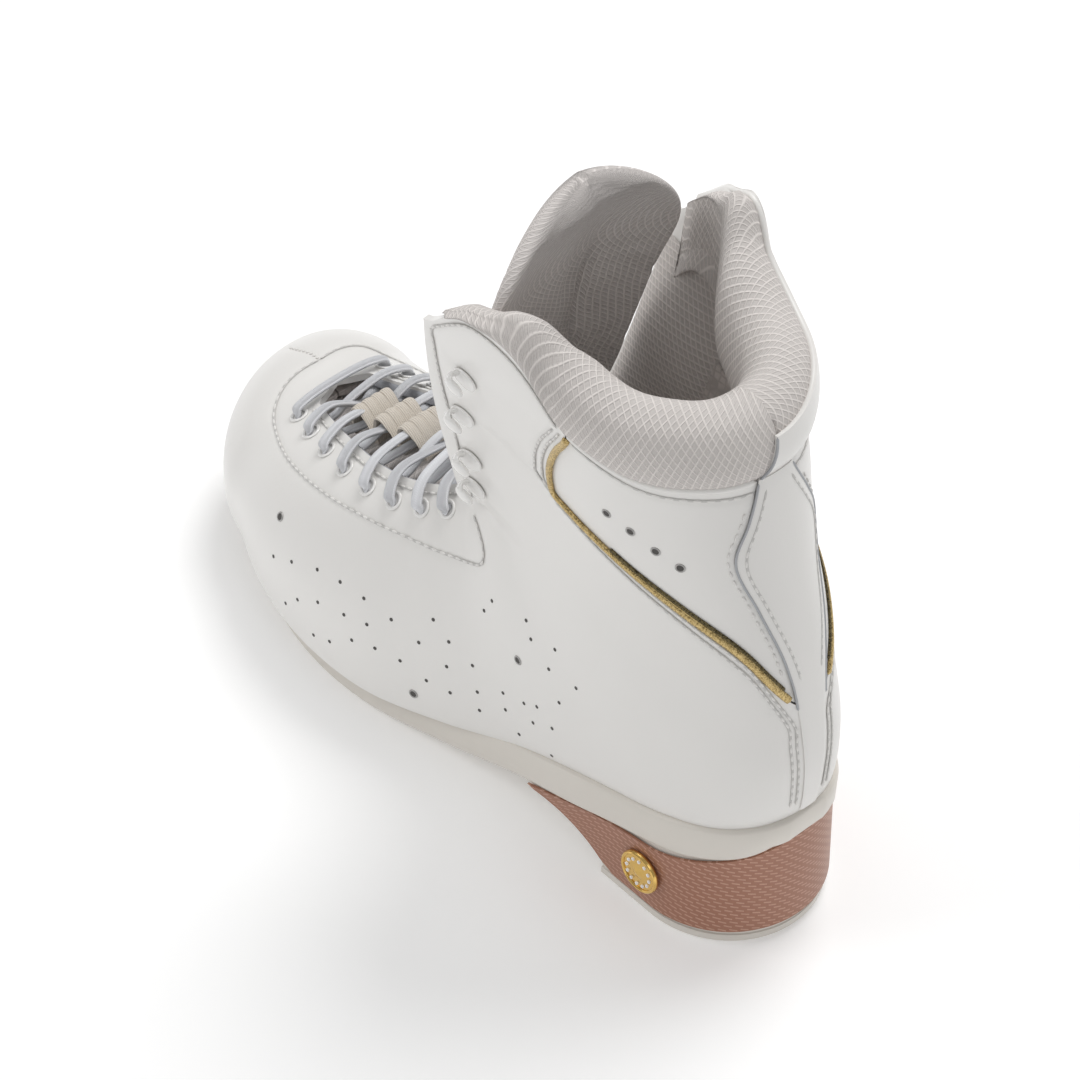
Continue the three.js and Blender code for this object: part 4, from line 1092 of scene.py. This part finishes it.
# ------------------------------------------------------------------ holes
def small_disc(radius, height, sides):
    deselect()
    bpy.ops.mesh.primitive_cylinder_add(vertices=sides, radius=radius * MM, depth=height * MM)
    return bpy.context.object


PIN_ROWS = [
    (12, [(7.5, 0.535), (8.35, 0.584), (9.1, 0.576), (9.85, 0.512), (10.52, 0.425), (11.2, 0.355),
          (11.9, 0.36)]),
    (5, [(7.77, 0.445), (8.47, 0.509), (9.28, 0.508)]),
    (10, [(8.33, 0.41), (9.11, 0.457), (9.87, 0.421), (10.6, 0.347), (11.55, 0.269)]),
    (6, [(10.33, 0.551), (10.72, 0.468), (11.33, 0.411), (11.8, 0.418)]),
    (4, [(11.4, 0.6), (12.5, 0.573), (12.62, 0.516), (12.4, 0.45)]),
    (4, [(11.7, 0.63), (12.6, 0.612), (13.19, 0.561), (13.2, 0.486)]),
]


def make_holes(name, side):
    dot = small_disc(0.62, 0.25, 14)
    ring_dot = small_disc(1.05, 0.3, 18)
    deselect()
    bpy.ops.mesh.primitive_torus_add(major_radius=1.35 * MM, minor_radius=0.3 * MM,
                                     major_segments=20, minor_segments=8)
    rim = bpy.context.object
    dots, rims = [], []
    # Curved rows of pin holes over the side of the forefoot and the waist of the boot.
    for count, knots in PIN_ROWS:
        steps = np.arange(len(knots))
        t = np.linspace(0, len(knots) - 1, count)
        s_row = curve_through([(k, knot[0]) for k, knot in zip(steps, knots)])(t)
        a_row = curve_through([(k, knot[1]) for k, knot in zip(steps, knots)])(t)
        dots += [(dot, float(s), float(a), 0.0) for s, a in zip(s_row, a_row)]
    for s, a in ((7.47, 0.636), (11.87, 0.51), (9.79, 0.351)):
        dots.append((ring_dot, s, a, 0.05))
        rims.append((s, a, 0.05))
    vents = [(18.36, 0.365), (18.31, 0.315), (18.19, 0.267), (18.09, 0.221)]
    for s, a in vents:
        dots.append((ring_dot, s, a, -0.4))
        rims.append((s, a, -0.35))
    black = [copy_to(source, f"hole_{name}_{k}", standing(surface, s, side * a, out, (0, 0.3, 1)))
             for k, (source, s, a, out) in enumerate(dots)]
    rings = [copy_to(rim, f"rim_{name}_{k}", standing(surface, s, side * a, out, (0, 0.3, 1)))
             for k, (s, a, out) in enumerate(rims)]
    for piece in (dot, ring_dot, rim):
        bpy.data.objects.remove(piece)
    holes = dress(merge(f"pin_holes_{name}", black), HOLE)
    edges = dress(merge(f"hole_rims_{name}", rings), RING)
    for obj, slot in ((holes, "white_leather"), (edges, "coated_metal")):
        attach(obj, "boot")


for name, side in SIDES.items():
    make_holes(name, side)


# ------------------------------------------------------------------ collar
roll_height = curve_through([
    (0, 1), (0.38, 1), (0.434, 0.66), (0.483, 0.4), (0.53, 0.16), (0.6, 0.06), (0.7, 0.03),
])
roll_depth = curve_through([(0, 1), (0.36, 1), (0.42, 0.72), (0.48, 0.45), (0.55, 0.32), (0.7, 0.28)])
# Height above the leather's edge and depth behind its outer face, once round the roll. A
# depth with None in front is a share of the roll's thickness.
ROLL = [
    (-14, -3.4, 0), (-8, -3.3, 0), (-2.5, -2.7, 0), (0.6, -0.9, 0), (3.2, 0.9, 0), (8, 1.9, 0),
    (14, 1.3, 0), (19, -1.2, 0), (22, 0, 0.3), (22.6, 0, 0.52), (20.5, 0, 0.75), (15.5, 0, 0.93),
    (7, 0, 1.0), (-4, 0, 0.93), (-14, 0, 0.72), (-26, 0, 0.52), (-27, -5.5, 0), (-21, -3.9, 0),
]


ROLL_KNOTS = dict(zip(("height", "depth", "share"), np.array(ROLL, float).T))
ROOT_SHARE = float(flap_root(ROOT_TOP))
TIP_SHARE = float(mix(flap_root(ROOT_TOP), flap_front(TIP), 0.86))


def round_roll(key, t):
    values = ROLL_KNOTS[key]
    i = np.floor(t).astype(int)
    p = [values[(i + k) % len(values)] for k in (-1, 0, 1, 2)]
    return cubic(*p, t - i)


def roll_surface(side, share, t, out=0.0):
    """A point of the collar roll: share round the boot, and t once round the roll."""
    around = np.abs(share)
    on_flap = np.clip((around - ROOT_SHARE) / (TIP_SHARE - ROOT_SHARE), 0, 1) * 0.86
    edge = np.where(around > ROOT_SHARE, flap_top(on_flap), collar_edge(around))
    h = round_roll("height", t)
    h = np.where(h > 1, 1 + (h - 1) * roll_height(around), h)
    depth = round_roll("depth", t) - round_roll("share", t) * 20 * roll_depth(around)
    s = edge + (h + out * smooth(t / 6)) / 18.5
    points = FLAP[side](s, side * share)
    outs = normals(FLAP[side], s, side * share)
    end = 0.25 + 0.75 * smooth((TIP_SHARE - around) / (0.06 * TIP_SHARE))
    return points + outs * (mix(-3.0, depth, end) + out)[..., None]


def make_collar(name, side):
    def place(u, v):
        return roll_surface(side, u * TIP_SHARE, v * len(ROLL))

    obj = capped(cloth_sheet(f"collar_{name}", 110, 96, place, closed=True))
    puffed(obj, 2.0, 1.2)
    dress(obj, COLLAR_MESH, 80)
    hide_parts(f"collar_padding_{name}")
    if name == "lateral":
        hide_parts("collar_padding_back")
    bend_collar(obj)


def bend_collar(obj):
    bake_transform(obj)


def capped(obj):
    """Closes the open ends of a tube."""
    only(obj)
    bpy.ops.object.mode_set(mode="EDIT")
    bpy.ops.mesh.select_all(action="DESELECT")
    bpy.ops.mesh.select_non_manifold()
    bpy.ops.mesh.fill_holes(sides=0)
    bpy.ops.mesh.select_all(action="SELECT")
    bpy.ops.mesh.normals_make_consistent(inside=False)
    bpy.ops.object.mode_set(mode="OBJECT")
    return obj


def puffed(obj, pressure, cap):
    """Inflates a closed piece a little as cloth, and holds each point within cap millimetres."""
    before = np.zeros(len(obj.data.vertices) * 3)
    obj.data.vertices.foreach_get("co", before)
    only(obj)
    cloth = obj.modifiers.new("cloth", "CLOTH")
    cloth.settings.use_pressure = True
    cloth.settings.uniform_pressure_force = pressure
    cloth.settings.effector_weights.gravity = 0
    cloth.settings.quality = 4
    cloth.settings.tension_stiffness = 20
    cloth.point_cache.frame_start = 1
    cloth.point_cache.frame_end = 14
    for step in range(1, 13):
        bpy.context.scene.frame_set(step)
    bpy.ops.object.modifier_apply(modifier=cloth.name)
    bpy.context.scene.frame_set(1)
    after = np.zeros(len(before))
    obj.data.vertices.foreach_get("co", after)
    moved = (after - before).reshape(-1, 3)
    reach = np.linalg.norm(moved, axis=1, keepdims=True)
    held = moved * np.minimum(1, cap * MM / np.maximum(reach, 1e-9))
    obj.data.vertices.foreach_set("co", (before.reshape(-1, 3) + held).ravel())
    obj.data.update()
    return obj


for name, side in SIDES.items():
    make_collar(name, side)

# White leather binding along the collar's edge on the outer side.
sa = [(float(collar_edge(a)) + 0.03, float(a)) for a in np.linspace(0.045, 0.385, 14)]
line, up = on_form(sa, 1, out=-0.5, point=surface)
band = dress(sweep("collar_binding", line, up, (1.1, 0.9)), WHITE_LEATHER)
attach(band, "boot")


def cover_start(rise):
    """Where the cover starts at the back: it sweeps forward as it rises."""
    return -0.043 * (1 - smooth(rise / 1.05)) - 0.004


def make_roll_cover():
    """On the inner side and at the back the leather rises over the roll's outer face."""
    def place(u, v):
        t = mix(1.2, mix(5.7, 6.3, smooth(u / 0.3)), v)
        return roll_surface(-1, mix(cover_start(v), TIP_SHARE * 0.985, u), t, out=1.4)

    obj = cloth_sheet("collar_leather", 120, 36, place)
    orient_outwards(obj, lambda c: c - np.array([0, 40, c[2]]))
    thicken(obj, 1.3)
    dress(obj, WHITE_LEATHER, 60)
    bend_collar(obj)

    rise = np.linspace(0.25, 1, 30)
    start = cover_start(rise)
    line = roll_surface(-1, start, mix(1.2, 5.7, rise), out=1.2)
    edge = sweep("collar_leather_edge", line, normals(surface, collar_edge(0 * rise), -start), (0.4, 0.5))
    dress(edge, GREY_EDGE)
    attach(edge, "boot")

    rim = np.linspace(0.01, 0.98, 60)
    share = mix(-0.004, TIP_SHARE * 0.985, rim)
    t = mix(5.7, 6.3, smooth(rim / 0.3))
    line = roll_surface(-1, share, t, out=0.5)
    up = normals(FLAP[-1], collar_edge(share), -share)
    edge = dress(sweep("collar_leather_rim", line, up, (0.8, 1.0)), WHITE_LEATHER)
    bend_collar(edge)


make_roll_cover()


def make_flap_lining(name, side):
    """Padding on the inside of an ankle flap, from its foot up to the collar roll."""
    def place(u, v):
        s = mix(12.9, 19.35, u)
        turn = 2 * math.pi * v
        w = (1 + np.cos(turn)) / 2
        front = flap_front(s) - share_of(s, mix(8, 1.2, smooth(u / 0.25)))
        a = mix(flap_root(s) - share_of(s, 5), front, w)
        plump = smooth(u / 0.2 + 0.05) * smooth((1.02 - u) / 0.4)
        depth = -2.5 - (4.4 if name == "medial" else 2.6) * plump * np.maximum(np.sin(turn), 0) ** 0.6
        points = FLAP[side](s, side * a)
        return points + normals(FLAP[side], s, side * a) * depth[..., None]

    obj = capped(cloth_sheet(f"flap_lining_{name}", 70, 64, place, closed=True))
    dress(obj, COLLAR_MESH, 80)
    bend_upper(obj)


for name, side in SIDES.items():
    make_flap_lining(name, side)

# ------------------------------------------------------------------ tongue
tongue_outer = curve_through([(0, 17), (0.25, 25), (0.45, 31), (0.65, 36.5), (0.8, 40), (1, 40)])
tongue_inner = curve_through([(0, 17), (0.25, 21), (0.45, 24), (0.65, 27), (0.8, 31), (1, 32)])
tongue_middle = curve_through([(0, 91.5), (0.35, 89), (0.7, 83), (1, 76)])


def make_tongue():
    def place(u, v):
        turn = 2 * math.pi * v
        x = np.sign(np.cos(turn)) * np.abs(np.cos(turn)) ** 0.7
        up = 1 - (1 - u) ** 1.3
        rise = mix(98, 226, up)
        round_ = np.maximum(0.06, (1 - np.clip((up - 0.74) / 0.26, 0, 1) ** 2.8) ** 0.45)
        outer = tongue_outer(up) + 3 * smooth(up)
        inner = tongue_inner(up) - 1.5 * smooth((0.4 - up) / 0.2)
        half = np.where(x < 0, outer, inner) * round_
        thick = mix(5, 10, smooth(up / 0.4)) * np.minimum(1, 0.35 + round_)
        y = tongue_middle(up) + 7 - 13 * (x * round_) ** 2 * mix(0.6, 1, up) - thick / 2
        rim = np.sin(turn)
        y = y + np.sign(rim) * np.abs(rim) ** 0.75 * thick / 2
        back = np.clip(-rim * 3, 0, 1)
        crease = np.exp(-((x - 0.16 + 0.3 * (up - 0.6)) / 0.045) ** 2)
        crease = crease * smooth((up - 0.2) / 0.2) * smooth((0.9 - up) / 0.1)
        fold = np.exp(-((x + 0.1) / 0.06) ** 2) * smooth((up - 0.62) / 0.1) * smooth((0.93 - up) / 0.08)
        swell = smooth((x + 0.75) / 0.5) * smooth((0.1 - x) / 0.3) * smooth((up - 0.2) / 0.3)
        y = y + (3.2 * crease + 2.0 * fold - 1.6 * swell) * back
        return np.stack([x * half, y, rise], -1)

    obj = capped(cloth_sheet("tongue_padding", 90, 96, place, closed=True))
    puffed(obj, 2.5, 1.5)
    dress(obj, TONGUE_MESH, 80)
    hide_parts("tongue_upper")
    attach(obj, "tongue")


make_tongue()


def make_tongue_root():
    def place(u, v):
        s = mix(5.3, 10.95, v)
        a = mix(0.78, 1.22, u)
        depth = mix(-7.5, -10.4, smooth((s - 5.4) / 0.8))
        return surface(s, a) + normals(surface, s, a) * depth[..., None]

    obj = cloth_sheet("tongue_root", 50, 60, place)
    orient_outwards(obj, lambda c: np.array([0, 0.3, 1]))
    thicken(obj, 3.2)
    dress(obj, TONGUE_MESH, 60)
    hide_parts("tongue_lower")
    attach(obj, "boot")


make_tongue_root()

# Elastic loops across the tongue: each arches over a crossing of the lace and is woven in
# four strips along the foot.
for k in range(3):
    middle = 7.38 + 0.59 * k

    def place(u, v, middle=middle):
        s = middle + mix(-0.29, 0.29, v)
        a = 0.995 + share_of(s, mix(-7.6, 7.6, u))
        arch = np.sin(math.pi * v) ** 0.55
        strips = np.abs(np.sin(4 * math.pi * u)) ** 0.45
        height = mix(-9.3, 1.6, arch) + 0.7 * strips * arch
        return surface(s, a) + normals(surface, s, a) * height[..., None]

    band = cloth_sheet(f"elastic_{k + 1}", 80, 44, place)
    orient_outwards(band, lambda c: np.array([0, 0.3, 1]))
    thicken(band, 0.9)
    dress(band, ELASTIC, 60)
    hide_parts(f"tongue_elastic_{k + 1}")
    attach(band, "boot")

# ------------------------------------------------------------------ felt edge of the facings
for name, side in SIDES.items():
    s = np.linspace(6.35, 11.5, 50)
    a = side * (throat_edge(s) - share_of(s, 0.2))
    up = normals(surface, s, a)
    edge = sweep(f"facing_edge_{name}", surface(s, a) - up * 2.6, up, (0.9, 1.7))
    dress(edge, FELT)
    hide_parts(f"eyelet_facing_{name}")
    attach(edge, "boot")


# ------------------------------------------------------------------ eyelets, hooks and lace
def make_eyelets():
    deselect()
    bpy.ops.mesh.primitive_torus_add(major_radius=2.7 * MM, minor_radius=0.6 * MM,
                                     major_segments=32, minor_segments=12)
    ring = bpy.context.object
    ring.data.transform(Matrix.Diagonal((1, 1, 0.55, 1)))
    for name, side in SIDES.items():
        for row in range(8):
            s = 6.4 + 0.59 * row
            a = side * float(eyelet_share(s))
            made = copy_to(ring, f"eyelet_ring_{name}_{row + 1}", standing(surface, s, a, 0.25, (0, 1, 0)))
            dress(made, COATED)
            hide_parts(f"eyelet_{name}_{row + 1}")
            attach(made, "boot")
    bpy.data.objects.remove(ring)


make_eyelets()


def make_hook():
    """A round white plate with a bent arm on its front edge under a rounded cap."""
    deselect()
    bpy.ops.mesh.primitive_cylinder_add(vertices=40, radius=4.4 * MM, depth=0.9 * MM,
                                        location=(0, 0, 0.6 * MM))
    plate = bpy.context.object
    modify(settled(plate), "BEVEL", width=0.4 * MM, segments=3, limit_method="ANGLE")
    deselect()
    bpy.ops.mesh.primitive_uv_sphere_add(segments=32, ring_count=18, radius=1)
    cap = bpy.context.object
    flat = Matrix.Diagonal((3.5 * MM, 2.7 * MM, 1.25 * MM, 1))
    cap.data.transform(Matrix.Translation((0.4 * MM, 0, 4.6 * MM)) @ flat)
    arm_line = [((2.2, 0, 0.6), (1, 0, 0)), ((3.3, 0, 1.2), (1, 0, 0.2)), ((3.9, 0, 2.4), (1, 0, 0.4)),
                ((3.6, 0, 3.8), (1, 0, 0.8)), ((2.4, 0, 4.6), (0.4, 0, 1)), ((1.0, 0, 4.8), (0, 0, 1))]
    arm_place, arm_up = np.array(arm_line, float).transpose(1, 0, 2)
    arm = sweep("hook_arm", arm_place, arm_up, (2.4, 0.8), spacing=0.5)
    return merge("hook", [plate, cap, arm])


hook = make_hook()
HOOKS = [(14.1, 0.76), (15.5, 0.78), (17.3, 0.76), (19.0, 0.68)]
for name, side in SIDES.items():
    for k, (s, u) in enumerate(HOOKS):
        a = side * float(mix(flap_root(s), flap_front(s), u))
        stand = standing(FLAP[side], s, a, 0.1, (0, 1, 0.7), ahead=True)
        made = copy_to(hook, f"lace_hook_{name}_{k + 1}", stand)
        dress(made, COATED)
        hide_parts(f"hook_{name}_{k + 1}")
        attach(made, f"flap_{name}")
bpy.data.objects.remove(hook)


def lace_path():
    """From the middle of the bar over the first row, each end dives through its hole, runs
    under its facing, crosses the tongue and goes over the other facing into the next hole."""
    halves = []
    for side in (1, -1):
        path = []
        for row in range(8):
            here = side if row % 2 == 0 else -side
            s = 6.4 + 0.59 * row
            a = float(eyelet_share(s))
            path += [(s, here * a, 2.6), (s, here * a, 0.4), (s, here * a, -5.2)]
            if row == 7:
                path.append((s + 0.45, here * (a - 0.02), -5.6))
                break
            ahead = s + 0.2
            path.append((ahead, here * (float(throat_edge(ahead)) + 0.02), -5.6))
            path.append((s + 0.36, here * 0.985, -1.6 if side > 0 else -5.4))
            over = s + 0.5
            path.append((over, -here * (float(throat_edge(over)) + 0.012), 2.2))
        halves.append(path)
    first = float(eyelet_share(6.4))
    bar = [(6.4, a, 3.0) for a in np.linspace(first, 2 - first, 7)[1:-1]]
    path = halves[0][::-1] + bar + halves[1]
    table = np.array(path)
    up = normals(surface, table[:, 0], table[:, 1])
    return surface(table[:, 0], table[:, 1]) + up * table[:, 2:3], up


lace = sweep("lace_cord", *lace_path(), (2.15, 1.15))
dress(lace, LACE, 80)
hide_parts("lace")
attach(lace, "boot")


# ------------------------------------------------------------------ sole and heel
def sole_floor(s):
    return np.maximum(0, rows_at(np.atleast_1d(s))[:, 3] - 5).reshape(np.shape(s))


HEEL_S = np.linspace(14, 3, 600)
HEEL_Y = surface(HEEL_S, 0 * HEEL_S)[:, 1]
HEEL_Z = sole_floor(HEEL_S)


def underside(y):
    return np.interp(y, HEEL_Y, HEEL_Z)


def make_outsole():
    t = np.linspace(0, 1, 400)
    half = 2.915 + (14.235 - 2.915) * (1 - np.cos(math.pi * t)) / 2
    edge_s = np.concatenate([half, half[::-1][1:-1]])
    edge_side = np.concatenate([np.ones(len(half)), -np.ones(len(half) - 2)])
    rim = surface(edge_s, edge_side * feather(edge_s))
    middle = surface(edge_s, 0.0 * edge_s)
    ahead = unit(np.roll(rim, -2, 0)[:, :2] - np.roll(rim, 2, 0)[:, :2])
    out = np.stack([ahead[:, 1], -ahead[:, 0]], 1)
    inwards = ((rim[:, :2] - np.array([0, 90])) * out).sum(1) < 0
    if inwards.mean() > 0.5:
        out = -out
    for _ in range(10):
        out = unit(out * 0.5 + (np.roll(out, 1, 0) + np.roll(out, -1, 0)) * 0.25)
    base = np.minimum(underside(rim[:, 1]), rim[:, 2] - 3.5)
    tuck = 4.5 * (1 - smooth((edge_s - 9.0) / 3.0))
    # Off the edge, height, and 1 where the height counts from the sole's underside.
    profile = [(-4.0, 0.9, 0), (0.4, 0.75, 0), (1.5, 0.4, 0), (2.0, -0.4, 0),
               (2.0, 1.2, 1), (1.7, 0.35, 1), (0.9, 0.0, 1), (-3.0, 0.0, 1)]

    def place(u, v):
        n = len(edge_s)
        k = np.clip((u * n).round().astype(int), 0, n) % n
        j = np.clip((v * (len(profile) + 1)).round().astype(int), 0, len(profile) + 1)
        made = np.zeros((*u.shape, 3))
        for level in range(len(profile) + 2):
            here = j == level
            kk = k[here]
            if level in (0, len(profile) + 1):
                p = middle[kk].copy()
                p[:, 2] = np.where(level == 0, middle[kk, 2] - 0.2, underside(middle[kk, 1]))
            else:
                off, dz, low = profile[level - 1]
                p = np.zeros((len(kk), 3))
                p[:, :2] = rim[kk, :2] + out[kk] * (off - tuck[kk])[:, None]
                p[:, 2] = (base[kk] if low else rim[kk, 2]) + dz
            made[here] = p
        return made

    obj = cloth_sheet("sole_piece", len(edge_s), len(profile) + 1, place, closed=True)
    dress(obj, SOLE, 50)
    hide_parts("outsole")
    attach(obj, "boot")


make_outsole()

LIFT = {"radius": 31.5, "back": -34.0, "front": 19.0, "thick": 3.2}
TOP = {"radius": 32.5, "back": -31.0, "front": 62.0}


def heel_outline(f, out, trim, t):
    """Once round the heel from its outer front corner: t 0 to 1, a straight side, the half
    round back and the other side."""
    radius = mix(LIFT["radius"], TOP["radius"], f)
    centre = mix(LIFT["back"], TOP["back"], f) + radius
    front = mix(LIFT["front"], TOP["front"], f ** 1.35) - trim
    side_share = 0.3
    first = np.clip(t / side_share, 0, 1)
    last = np.clip((t - 1 + side_share) / side_share, 0, 1)
    turn = math.pi * (1 + np.clip((t - side_share) / (1 - 2 * side_share), 0, 1))
    x = (radius + out) * np.cos(turn)
    y = centre + (radius + out) * np.sin(turn)
    y = np.where(t < side_share, mix(front, centre, first), y)
    y = np.where(t > 1 - side_share, mix(centre, front, last), y)
    plain_y = np.where((t < side_share) | (t > 1 - side_share), y, centre + radius * np.sin(turn))
    return x, y, plain_y


def make_heel():
    def place(u, v):
        f = np.clip((v - 0.12) / 0.76, 0, 1)
        t = np.clip(u * 1.18, 0, 1)
        close = np.clip((u * 1.18 - 1) / 0.18, 0, 1)
        x, y, plain_y = heel_outline(f, 0.0, 0.0, t)
        x = np.where(close > 0, mix(x, -x, close), x)
        dip = np.sin(math.pi * close) * 3.0 * (1 - f)
        y = np.where(close > 0, y - dip, y)
        roof = np.maximum(underside(plain_y) + 0.8, LIFT["thick"] + 0.8)
        z = mix(LIFT["thick"] + 0.3, roof, f)
        cap = np.where(v < 0.12, v / 0.12, np.where(v > 0.88, (1 - v) / 0.12, 1))
        middle_y = np.where(v < 0.5, -4.0, 15.0)
        x = x * mix(0.02, 1, cap)
        y = mix(middle_y, y, mix(0.02, 1, cap))
        z = np.where(v > 0.88, mix(underside(y) + 0.8, z, cap), z)
        return np.stack([x, y, z], -1)

    obj = cloth_sheet("heel_body", 150, 50, place, closed=True)
    dress(obj, SOLE, 40)
    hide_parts("heel_block")
    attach(obj, "boot")

    def band(u, v):
        f = mix(0.05, 0.93, v)
        corner = 3.0 * (1 - smooth(np.minimum(v, 1 - v) / 0.12))
        x, y, plain_y = heel_outline(f, 0.35, 3.0 + corner, u)
        roof = np.maximum(underside(plain_y) - 0.5, LIFT["thick"] + 0.8)
        return np.stack([x, y, mix(LIFT["thick"] + 0.3, roof, f)], -1)

    wrap = cloth_sheet("copper_band", 160, 24, band)
    orient_outwards(wrap, lambda c: c - np.array([0, 10, c[2]]))
    thicken(wrap, 0.8, offset=1.0)
    dress(wrap, COPPER, 60)
    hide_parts("heel_wrap")
    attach(wrap, "boot")

    def lift(u, v):
        x, y, _ = heel_outline(0.0 * u, 0.25, -0.25, np.clip(u * 1.12, 0, 1))
        close = np.clip((u * 1.12 - 1) / 0.12, 0, 1)
        x = np.where(close > 0, mix(x, -x, close), x)
        height = np.interp(v, [0, 0.12, 0.2, 0.8, 0.88, 1], [0.0, 0.0, 0.35, 2.9, 3.2, 3.2])
        inset = np.interp(v, [0, 0.12, 0.2, 0.8, 0.88, 1], [1, 0.02, 0, 0, 0.02, 1])
        return np.stack([mix(x, 0.0, inset), mix(y, -7.0, inset), height], -1)

    base = cloth_sheet("heel_top_piece", 150, 50, lift, closed=True)
    dress(base, SOLE, 50)
    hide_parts("heel_lift")
    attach(base, "boot")


make_heel()


def make_badge():
    """A small round gold ornament with a ring of clear stones."""
    low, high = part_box("heel_badge")
    centre = (low + high) / 2
    deselect()
    bpy.ops.mesh.primitive_cylinder_add(vertices=48, radius=7.6 * MM, depth=1.2 * MM)
    plate = modify(settled(bpy.context.object), "BEVEL", width=0.35 * MM, segments=3, limit_method="ANGLE")
    deselect()
    bpy.ops.mesh.primitive_torus_add(major_radius=6.9 * MM, minor_radius=0.6 * MM,
                                     major_segments=48, minor_segments=10, location=(0, 0, 0.5 * MM))
    rim = settled(bpy.context.object)
    deselect()
    bpy.ops.mesh.primitive_cone_add(vertices=6, radius1=3.2 * MM, radius2=0.6 * MM, depth=1.0 * MM,
                                    location=(0, 0, 0.9 * MM))
    star = settled(bpy.context.object)
    gold = dress(merge("gold_badge", [plate, rim, star]), GOLD, 30)
    stones = []
    for k in range(12):
        turn = 2 * math.pi * k / 12
        deselect()
        place = (4.9 * MM * math.cos(turn), 4.9 * MM * math.sin(turn), 0.7 * MM)
        bpy.ops.mesh.primitive_ico_sphere_add(subdivisions=1, radius=0.75 * MM, location=place)
        stones.append(settled(bpy.context.object))
    sparkle = dress(merge("badge_stones", stones), STONE, 10)
    stand = Matrix.Translation(centre) @ Matrix.Rotation(-math.pi / 2, 4, "Y")
    for obj in (gold, sparkle):
        obj.data.transform(stand)
        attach(obj, "boot")
    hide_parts("heel_badge")


make_badge()

# ------------------------------------------------------------------ inside of the boot
INSIDE = {
    LINING_MESH: ["lining_front_lateral", "lining_front_medial", "lining_back_lateral",
                  "lining_back_medial", "footbed"],
    BOARD: ["toe_puff", "heel_counter", "insole_board"],
    STEEL: ["shank"],
}
for material, names in INSIDE.items():
    for name in names:
        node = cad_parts[name]
        node.data.materials.clear()
        node.data.materials.append(material)

# ------------------------------------------------------------------ floor
deselect()
bpy.ops.mesh.primitive_plane_add(size=8, location=(0, 0, -0.0003))
floor = bpy.context.object
floor.name = "floor"
floor_finish = Finish("floor_white", (0.95, 0.95, 0.95), 0.9,
                      Emission_Color=(1, 1, 1, 1), Emission_Strength=0.16)
floor.data.materials.append(floor_finish.material)
